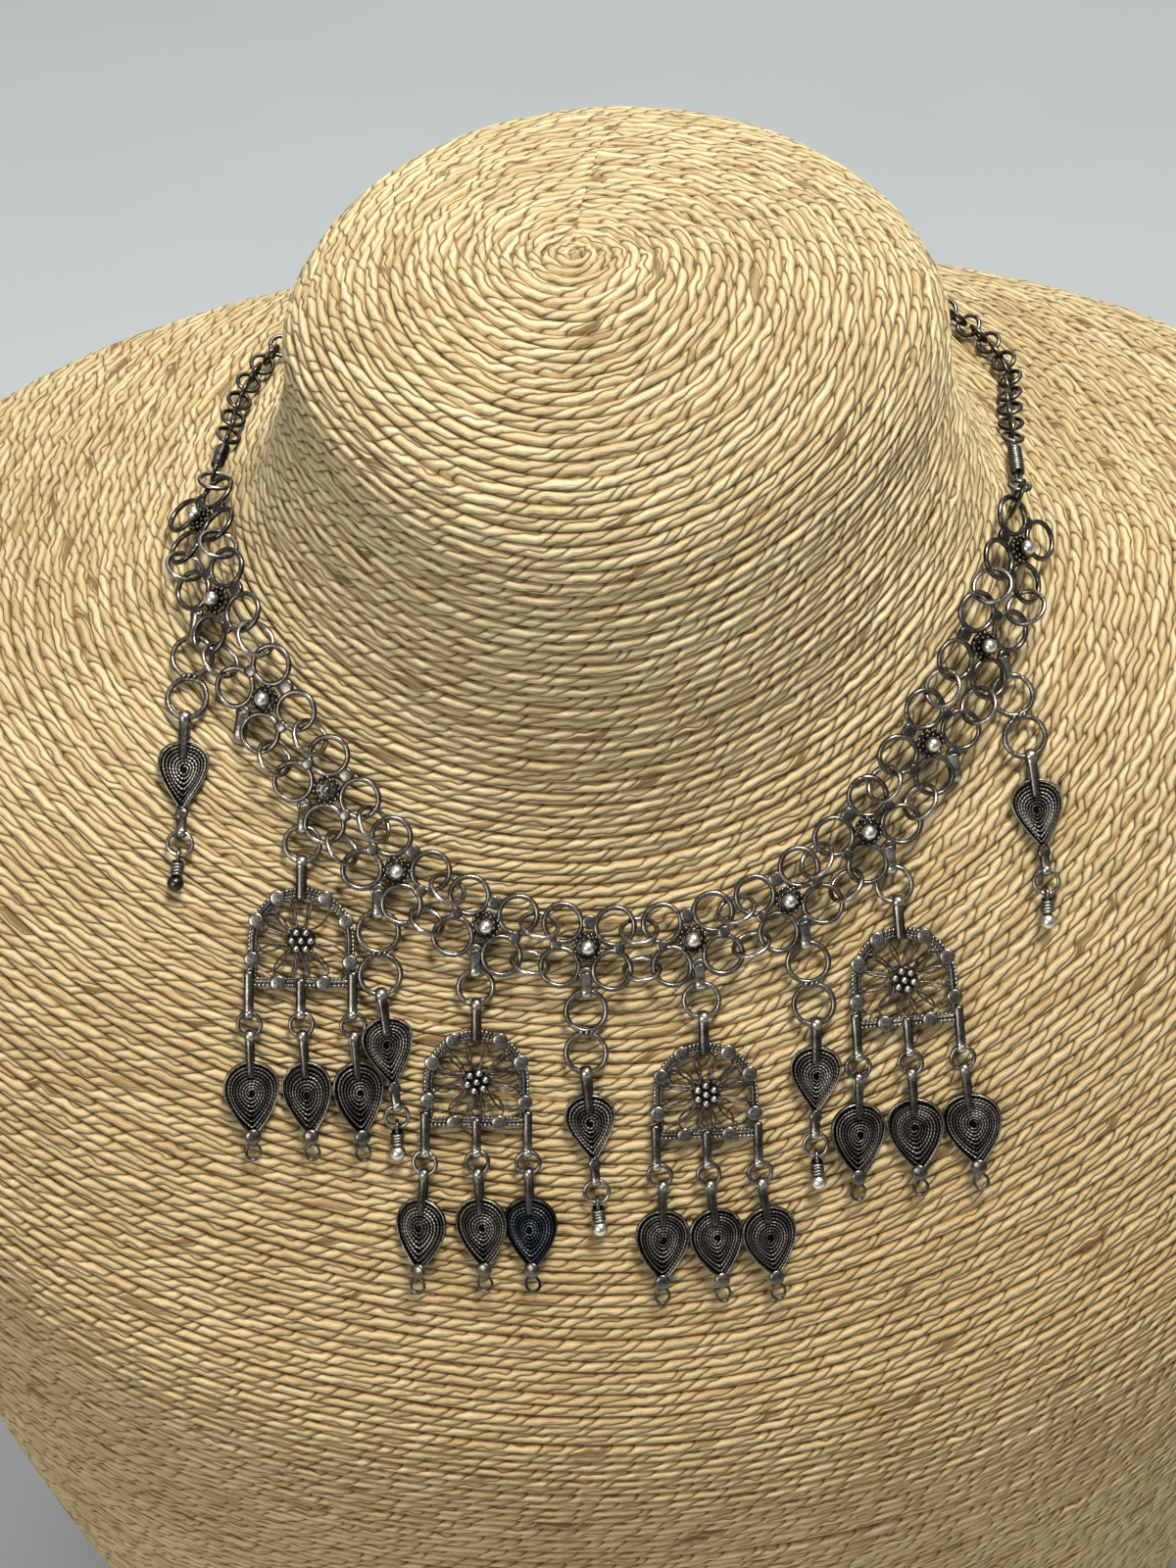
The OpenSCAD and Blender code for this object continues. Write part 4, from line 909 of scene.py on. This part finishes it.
def unit(k):
    s = Shape()
    f = UNITS[k]
    for i, (x, y) in enumerate(((-1, -1), (1, -1), (1, 1), (-1, 1))):
        centre = (x * RING_DX / 2, y * RING_DY / 2, 0)
        ring(s, f, RING_OD, 0.88, 0.56, seed=k * 1.7 + i * 2.3 + 9, centre=centre)
    disc(s, f, DISC_D, DISC_T, 0.5, (0, RING_DY / 2 + RING_WIRE / 2, 0.08), square=0.6, dome=0.06)
    for x in (-1, 1):
        disc(s, f, SIDE_DISC_D, DISC_T, 0.5, (x * (RING_DX / 2 + RING_WIRE), 0, 0.08), square=0.6, dome=0.06)
    revolve(s, f, [(0.001, 0.5), (1.5, 0.5), (2.05, 0.35), (2.15, 0), (2.0, -0.5), (0.001, -0.55)], 0.3)
    granules(s, f, 14, COLLAR_R, 0.72, 0.5, 0.42, k)
    granules(s, f, 9, INNER_R, 0.6, 0.5, 0.72, 2 * k)
    if k == NO_BALL_UNIT:
        ball(s, f, STUMP_D, 0.5, (0, 0, 0.62), 16, 10, 0.6)
    else:
        ball(s, f, UNIT_BALL_D, BRIGHT, (0, 0, 1.62), 28, 18)
    if abs(k) < END_UNIT:
        disc(s, f, DISC_D, DISC_T, 0.5, (0, -BAIL_ROOT, 0.05), square=0.3, dome=0.05)
        wide = BAIL_W * (1.2 if abs(k) == EMPTY_BAIL_UNIT else 1.05)
        tail, back = bail_length(k) + 0.5, bail_length(k) * 0.9
        strap(s, flipped(bail_frame(k)), wide, PAIR_WIRE, tail, back, 0.5, 0.6, 1.0)
    s.build("unit_" + SIDES[k])


for k in NUMBERS:
    unit(k)


def link_frame(k, side, tilt):
    a, b = UNITS[k], UNITS[k + 1]
    link_r = (LINK_OD - LINK_WIRE) / 2
    ca = to_world(a, [RING_DX / 2, side * RING_DY / 2, 0])
    cb = to_world(b, [-RING_DX / 2, side * RING_DY / 2, 0])
    e = unit_vec(cb - ca)
    ra = ca + square_to(a[3], e) * RING_R
    rb = cb - square_to(b[3], e) * RING_R
    n = square_to(e, a[3] + b[3])
    w = -np.cross(n, e) * cos(radians(tilt)) + n * sin(radians(tilt))
    half = np.linalg.norm(rb - ra) / 2
    clear = (RING_WIRE + LINK_WIRE) / 2 + LINK_PLAY
    drop = max((link_r - clear / sin(radians(tilt))) * (1 - (half / (link_r - clear)) ** 2), 0)
    slip = UPPER_SLIPS[k + END_UNIT] if side > 0 else 0
    return [(ra + rb) / 2 + w * drop + e * slip, e, w, np.cross(e, w)], n


for name, side, tilt in (("upper_link_rings", 1, UPPER_TILT), ("lower_link_rings", -1, LOWER_TILT)):
    links = Shape()
    for k in NUMBERS[:-1]:
        f, n = link_frame(k, side, tilt)
        ring(links, f, LINK_OD, 0.8, 0.8, seed=k * 2.9 + side * 3 + 20, wobble=0.02)
        links.face(n)
    links.build(name)


# Teardrop drops
tips = Shape()
for number, row in enumerate(TEAR_DROPS):
    side = SIDES[row[0]]
    pair, tear, tip, bob = tear_chain(*row)
    s = Shape()
    for i in (0, 1):
        ring(s, pair, PAIR_OD, 0.9, 0.6, seed=number * 2.2 + i * 4 + 1, centre=(0, -PAIR_R - i * PAIR_DY, 0))
    for x, z in ((-0.85, 0.35), (0.85, 0.35), (0.05, 0.75)):
        ball(s, pair, 0.95, 0.6, (x, -PAIR_R - PAIR_DY / 2, z), 12, 8)
    s.build("ring_pair_" + side)
    s = Shape()
    middle = moved(tear, (0, -TEAR_NECK - TEAR_H / 2, 0))
    pitch = COARSE_COIL if side in ("l5", "c") else FINE_COIL
    filigree(s, middle, TEAR_W, TEAR_H, TEAR_POINT, number + 1.0, 0.66, pitch)
    strap(s, tear, BAIL_W * 1.08, PAIR_WIRE, TEAR_NECK + 3.0, TEAR_NECK + 0.9, 0.62, 0.42, 0.75)
    low = flipped(moved(tear, (0, -TEAR_LONG, 0)))
    strap(s, low, LEG_W, TIP_WIRE, TEAR_FOOT + 1.3, TEAR_FOOT + 0.6, 0.5, 0.4, 1.0)
    disc(s, tear, 2.1, 0.4, 0.45, (0, -TEAR_NECK - TEAR_H + 0.1, 0.55), dome=0.12)
    s.build("teardrop_" + side)
    ring(tips, tip, TIP_OD, 0.68, 0.7, seed=number * 3.1 + 2, centre=(0, -TIP_R, 0), wobble=0.03)
    s = Shape()
    ring(s, edge_on(bob), 2 * BALL_LOOP_R + TIP_WIRE, 0.62, 0.6, seed=number, segments=36)
    s.face(bob[3])
    coil = spun(bob, -90)
    for i in range(COIL_TURNS):
        centre = (0, 0, -BALL_LOOP_R - (i + 0.55) * COIL_LEN / COIL_TURNS)
        wide = END_BALL * (0.82 + 0.05 * sin(i * 2 + number))
        ring(s, coil, wide, 0.52, 0.72, seed=i + number, centre=centre, segments=36, seam=False)
        s.face(bob[3])
    revolve(s, coil, [(0.9, 0.3), (0.92, -COIL_LEN)], 0.15, 16, centre=(0, 0, -BALL_LOOP_R))
    bob_tone = BLACKENED if number == 0 else BRIGHT
    ball(s, bob, END_BALL, bob_tone, (0, -BALL_LOOP_R - COIL_LEN - END_BALL / 2, 0), 28, 18)
    s.build("ball_" + side)
tips.build("tip_rings")


# Arch drops with their leaves
def arch_path(inset):
    r = ARCH_W / 2 - inset
    low = -(ARCH_H - ARCH_W / 2) + inset
    corner = 0.2
    arc = [(r * cos(a), r * sin(a), 0) for a in np.linspace(0, pi, 24)]
    left_foot = [(-r, low * 0.5, 0), (-r, low + corner, 0), (-r + corner, low, 0), (0, low, 0)]
    right_foot = [(r - corner, low, 0), (r, low + corner, 0), (r, low * 0.5, 0), (r, 0, 0)]
    return np.array(arc + left_foot + right_foot)


def petal_reach(a):
    inner = ARCH_W / 2 - ARCH_BAND
    if sin(a) >= 0:
        return inner + 0.1
    return min(inner / max(abs(cos(a)), 0.01), (ARCH_H - ARCH_W / 2 - ARCH_BAND) / abs(sin(a))) + 0.1


PETALS, LOST_PETALS, PETAL_LOOPS = 12, (9, 10), ((1.0, 0.18), (0.5, 0.14))
EDGE_INSET, BEAD_D, FRAME_DISC_D, ROSETTE_R, ROSETTE_D, LOOP_W, LOOP_H = 0.3, 0.66, 2.5, 1.5, 1.3, 2.3, 2.7
# Rows of twisted wire on the frame, each with its inset, radius, tone and height
FRAME_WIRES = [
    [EDGE_INSET, 0.24, 0.45, 1.5], [ARCH_BAND - 0.15, 0.24, 0.55, 1.4], [ARCH_BAND * 0.56, 0.2, 0.5, 1.6],
]


def arch(s, f, seed, lost):
    """Pierced half-round frame with petals of fine wire round a rosette. f is at the top wire."""
    g = moved(f, (0, -ARCH_NECK - ARCH_W / 2, 0))
    tube(s, g, even(arch_path(ARCH_BAND / 2), 0.5)[:-1], 0.5, 8, 0.4, closed=True, flat=1.2, flat_out=0.55)
    bead_row(s, g, arch_path(EDGE_INSET), BEAD_D, 0.72, 0.18)
    for inset, r, tone, rise in FRAME_WIRES:
        tube(s, g, even(arch_path(inset), 0.4)[:-1], r, 6, tone, mat=COILED, closed=True, flat_out=rise)
    mid = ARCH_W / 2 - ARCH_BAND / 2
    low = -(ARCH_H - ARCH_W / 2) + ARCH_BAND / 2
    spots = [(mid * cos(radians(a)), mid * sin(radians(a))) for a in (24, 61, 119, 156)]
    spots += [(-mid, -3.0), (mid, -3.4), (-3.6, low), (3.6, low)]
    for x, y in spots:
        disc(s, g, FRAME_DISC_D, 0.4, 0.62, (x, y, 0.62), dome=0.07)
    for i in range(PETALS):
        if i in lost:
            continue
        a = pi / 2 + i * 2 * pi / PETALS
        start, end = 2.0, petal_reach(a)
        for share, r in PETAL_LOOPS[:2 if i % 4 == 2 else 1]:
            half = end * sin(pi / PETALS) * 0.86 * share
            t = full_turn(26)
            along = (start + end) / 2 + (end - start) / 2 * np.cos(t) * (0.55 + 0.45 * share)
            side = half * np.sin(t) * (1 + 0.4 * np.cos(t)) + 0.12 * np.sin(3 * t + seed + i) * share
            loop = np.stack([along * cos(a) - side * sin(a), along * sin(a) + side * cos(a), 0.1 + 0 * t], -1)
            tube(s, g, loop, r, 5, 0.46, closed=True, flat_out=1.5)
    revolve(s, g, [(0.001, 0.3), (1.6, 0.3), (2.2, 0.2), (2.3, -0.2), (0.001, -0.3)], 0.2, 24)
    granules(s, g, 6, ROSETTE_R, ROSETTE_D, 0.86, 0.7, 0.2 * seed, 16, 10)
    ball(s, g, ROSETTE_D - 0.05, 0.86, (0, 0, 0.72), 16, 10)
    strap(s, f, BAIL_W * 0.98, HANGER_WIRE, ARCH_NECK + 2.0, ARCH_NECK + 0.6, 0.72, 0.45, 0.95)
    for x in (-1, 0, 1):
        leg = flipped(moved(f, (x * LEG_X, -ARCH_LONG, 0)))
        tail = ARCH_FOOT + (2.6 if x else 1.4)
        strap(s, leg, LEG_W, JUMP_WIRE, tail, ARCH_FOOT + 0.5, 0.7, 0.5, 1.0)


hangers = Shape()
jumps = Shape()
for number, row in enumerate(ARCH_DROPS):
    side = SIDES[row[0]]
    hanger, arch_at = arch_chain(*row)
    ring(hangers, hanger, HANGER_OD, 0.86, 0.66, seed=number * 2.7 + 3, centre=(0, -HANGER_R, 0))
    s = Shape()
    arch(s, arch_at[0], number * 1.3, LOST_PETALS if number == 0 else ())
    s.build("arch_" + side)
    for i, (arch_row, across, *lie, width) in enumerate(LEAF_ROWS):
        if arch_row != number:
            continue
        jump, plate = leaf_chain(*arch_at, across, *lie)
        ring(jumps, jump, JUMP_OD, 0.72, 0.6, seed=i * 1.9 + 4, centre=(0, -JUMP_R, 0), wobble=0.03)
        s = Shape()
        name = side + "_" + "abc"[across + 1]
        dark, coarse = name == "l1_c", name == "l1_a"
        shine = 0.68 if dark or coarse else 0.64 if side == "r1" else 0.6
        middle = moved(plate, (0, -LEAF_NECK - LEAF_H / 2, 0))
        slip = 0.35 if name == "r3_b" else 0.0
        pitch = COARSE_COIL if coarse else FINE_COIL
        filigree(s, middle, LEAF_W * width, LEAF_H, LEAF_POINT, i * 1.7 + 3, shine, pitch, slip, dark)
        strap(s, plate, LEG_W, JUMP_WIRE, LEAF_NECK + 2.6, LEAF_NECK + 0.9, 0.66, 0.45, 0.8)
        s.mats[-1][:] = PLAIN_EXTRA
        disc(s, plate, 2.6, 0.4, 0.56, (0, -LEAF_LONG + 0.3, 0.45), dome=0.22)
        s.mats[-1][:] = PLAIN_EXTRA
        loop = moved(plate, (0, -LEAF_LONG - 2.3, 0.05))
        a = full_turn(36)
        path = np.stack([LOOP_W / 2 * np.sin(a), LOOP_H / 2 * np.cos(a), 0 * a], -1)
        tube(s, loop, path, 0.25, 8, 0.5, closed=True)
        plate_silver = [plain_blue, coiled_blue] if dark else SILVERS
        s.build("leaf_" + name, plate_silver + [plain])
hangers.build("hanger_rings")
jumps.build("jump_rings")


# The ends and the plain way round the back
def wrapped_link(s, f, length):
    loop_x = (length - WRAP_LOOP_OD) / 2
    coil_half = length * 0.2
    for x in (-1, 1):
        ring(s, f, WRAP_LOOP_OD, WRAP_WIRE, 0.7, seed=x + 5, centre=(x * loop_x, 0, 0), segments=44)
        start, end = x * (loop_x - WRAP_R + 0.1), x * coil_half * 0.9
        for y in (-0.32, 0.32):
            tube(s, f, [(start, y, 0), ((start + end) / 2, y, 0), (end, y, 0)], 0.34, 10, 0.6)
    turns = max(int(2 * coil_half / 0.82), 4)
    a = np.linspace(0, turns * 2 * pi, turns * 20)
    r = WRAP_COIL_D / 2 - 0.36
    path = np.stack([np.linspace(-coil_half, coil_half, len(a)), r * np.cos(a), r * np.sin(a)], -1)
    tube(s, f, path, 0.37, 8, 0.72, up=(1, 0, 0))


left, right = End(-1), End(1)
s = Shape()
ring(s, spun(left.ring, END_SPIN), END_OD, 0.78, 0.8, seed=3)
s.build("end_ring_left")
s = Shape()
a = full_turn(60)
flat_ring = circle((CRESCENT_OD - CRESCENT_WALL) / 2, a)
thick = CRESCENT_WALL / 2 * (1 + 0.12 * np.cos(a - 2))
tube(s, spun(right.ring, END_SPIN), flat_ring, thick, 12, 0.85, closed=True, flat_out=0.75)
s.build("end_ring_right")
for end, name in ((left, "left"), (right, "right")):
    s = Shape()
    wrapped_link(s, spun(end.wrapped, END_SPIN - 90), end.wrap)
    s.build("wrapped_link_" + name)
    s = Shape()
    for i in range(end.links + 1):
        f = end.link_frame(i)
        ring(s, f, CHAIN_OD, CHAIN_WIRE, 0.58, seed=i * 1.3 + end.side, segments=32, sides=8)
        s.face(normal(end.on_lane(end.link_s(i))))
    s.build("back_chain_" + name)
s = Shape()
hook = spun(HOOK_FRAME, -45)
for x in (-1, 1):
    ring(s, hook, CHAIN_OD, CHAIN_WIRE, 0.7, seed=x + 2, centre=(x * HOOK_LOOP_X, 0, 0), segments=40)
rod = [(CHAIN_R - HOOK_LOOP_X, 0, 0), (0, 0, 0), (HOOK_LOOP_X - CHAIN_R, 0, 0)]
tube(s, hook, rod, 0.44, 12, 0.7)
s.build("clasp_hook")


# Floor, backdrop, light and camera
def stage_sheet():
    """Floor that curves up into the backdrop."""
    m, g, shader = new_material("pale_studio_sheet")
    colour = g.ramp(g.noise(g.where(), 6, 2.0), [(0.3, (0.53, 0.565, 0.57)), (0.7, (0.56, 0.595, 0.60))])
    g.fill(shader, {"Base Color": colour, "Roughness": 0.8})
    path = [(-3.0, 0), (-1.0, 0), (1.2, 0), (2.2, 0.05), (2.9, 0.4), (3.2, 1.2), (3.25, 4.0)]
    rows = smooth([(0, y, z) for y, z in path], 8)
    points = [(x, p[1], p[2]) for p in rows for x in (-4.0, 4.0)]
    faces = [(2 * i, 2 * i + 1, 2 * i + 3, 2 * i + 2) for i in range(len(rows) - 1)]
    mesh = bpy.data.meshes.new("studio_sheet")
    mesh.from_pydata(points, [], faces)
    mesh.polygons.foreach_set("use_smooth", np.ones(len(faces), bool))
    mesh.materials.append(m)
    sheet = add_object("studio_sheet", mesh)


stage_sheet()


def area_light(name, place, target, size, power, colour):
    data = bpy.data.lights.new(name, "AREA")
    data.shape = "DISK"
    data.size = size
    data.energy = power
    data.color = colour
    lamp = add_object(name, data)
    lamp.location = place
    lamp.rotation_euler = (Vector(target) - Vector(place)).to_track_quat("-Z", "Y").to_euler()


area_light("key", (0.18, -0.12, 1.15), (0, -0.04, 0.22), 0.26, 12.5, (1.0, 0.98, 0.93))
area_light("fill", (-0.6, -0.95, 0.7), (0, -0.06, 0.18), 0.5, 5.5, (1.0, 0.98, 0.95))
area_light("far", (0.0, 1.7, 1.6), (0, 0.9, 0), 1.2, 9, (0.96, 0.99, 1.0))

SKY_STRENGTH = 0.42
world = bpy.data.worlds.new("studio")
bpy.context.scene.world = world
world.use_nodes = True
sky = Graph(world.node_tree)
upward = sky.split(sky.node("ShaderNodeTexCoord").outputs["Generated"])[2]
sky_colour = sky.ramp(upward, [(0.0, (0.30, 0.31, 0.32)), (0.35, (0.34, 0.35, 0.37)),
                               (0.7, (0.95, 0.97, 1.0)), (1.0, WHITE)])
sky.fill(world.node_tree.nodes["Background"], {0: sky_colour, 1: SKY_STRENGTH})
bpy.context.scene.view_settings.view_transform = "Standard"

ELEVATION, ROLL, DISTANCE = radians(42), radians(2.5), 0.4
PHOTO_W, PHOTO_H, FOCAL_PIXELS, SENSOR = 1200, 1600, 2600, 36
TARGET, TARGET_PIXEL = np.array([0, -0.056, 0.224]), (655, 968)
right_dir = np.array([1.0, 0, 0])
back_dir = np.array([0, -cos(ELEVATION), sin(ELEVATION)])
up_dir = np.cross(right_dir, -back_dir)
cam_x = cos(ROLL) * right_dir - sin(ROLL) * up_dir
cam_y = sin(ROLL) * right_dir + cos(ROLL) * up_dir
aside = (TARGET_PIXEL[0] - PHOTO_W / 2) / FOCAL_PIXELS
above = (PHOTO_H / 2 - TARGET_PIXEL[1]) / FOCAL_PIXELS
place = TARGET - (-back_dir + aside * cam_x + above * cam_y) * DISTANCE
camera_data = bpy.data.cameras.new("camera")
camera_data.sensor_fit = "AUTO"
camera_data.sensor_width = SENSOR
camera_data.lens = SENSOR * FOCAL_PIXELS / PHOTO_H
camera_data.clip_start = 0.01
camera = add_object("camera", camera_data)
axes = np.column_stack([cam_x, cam_y, back_dir, place])
camera.matrix_world = Matrix(np.vstack([axes, [0, 0, 0, 1]]))
bpy.context.scene.camera = camera
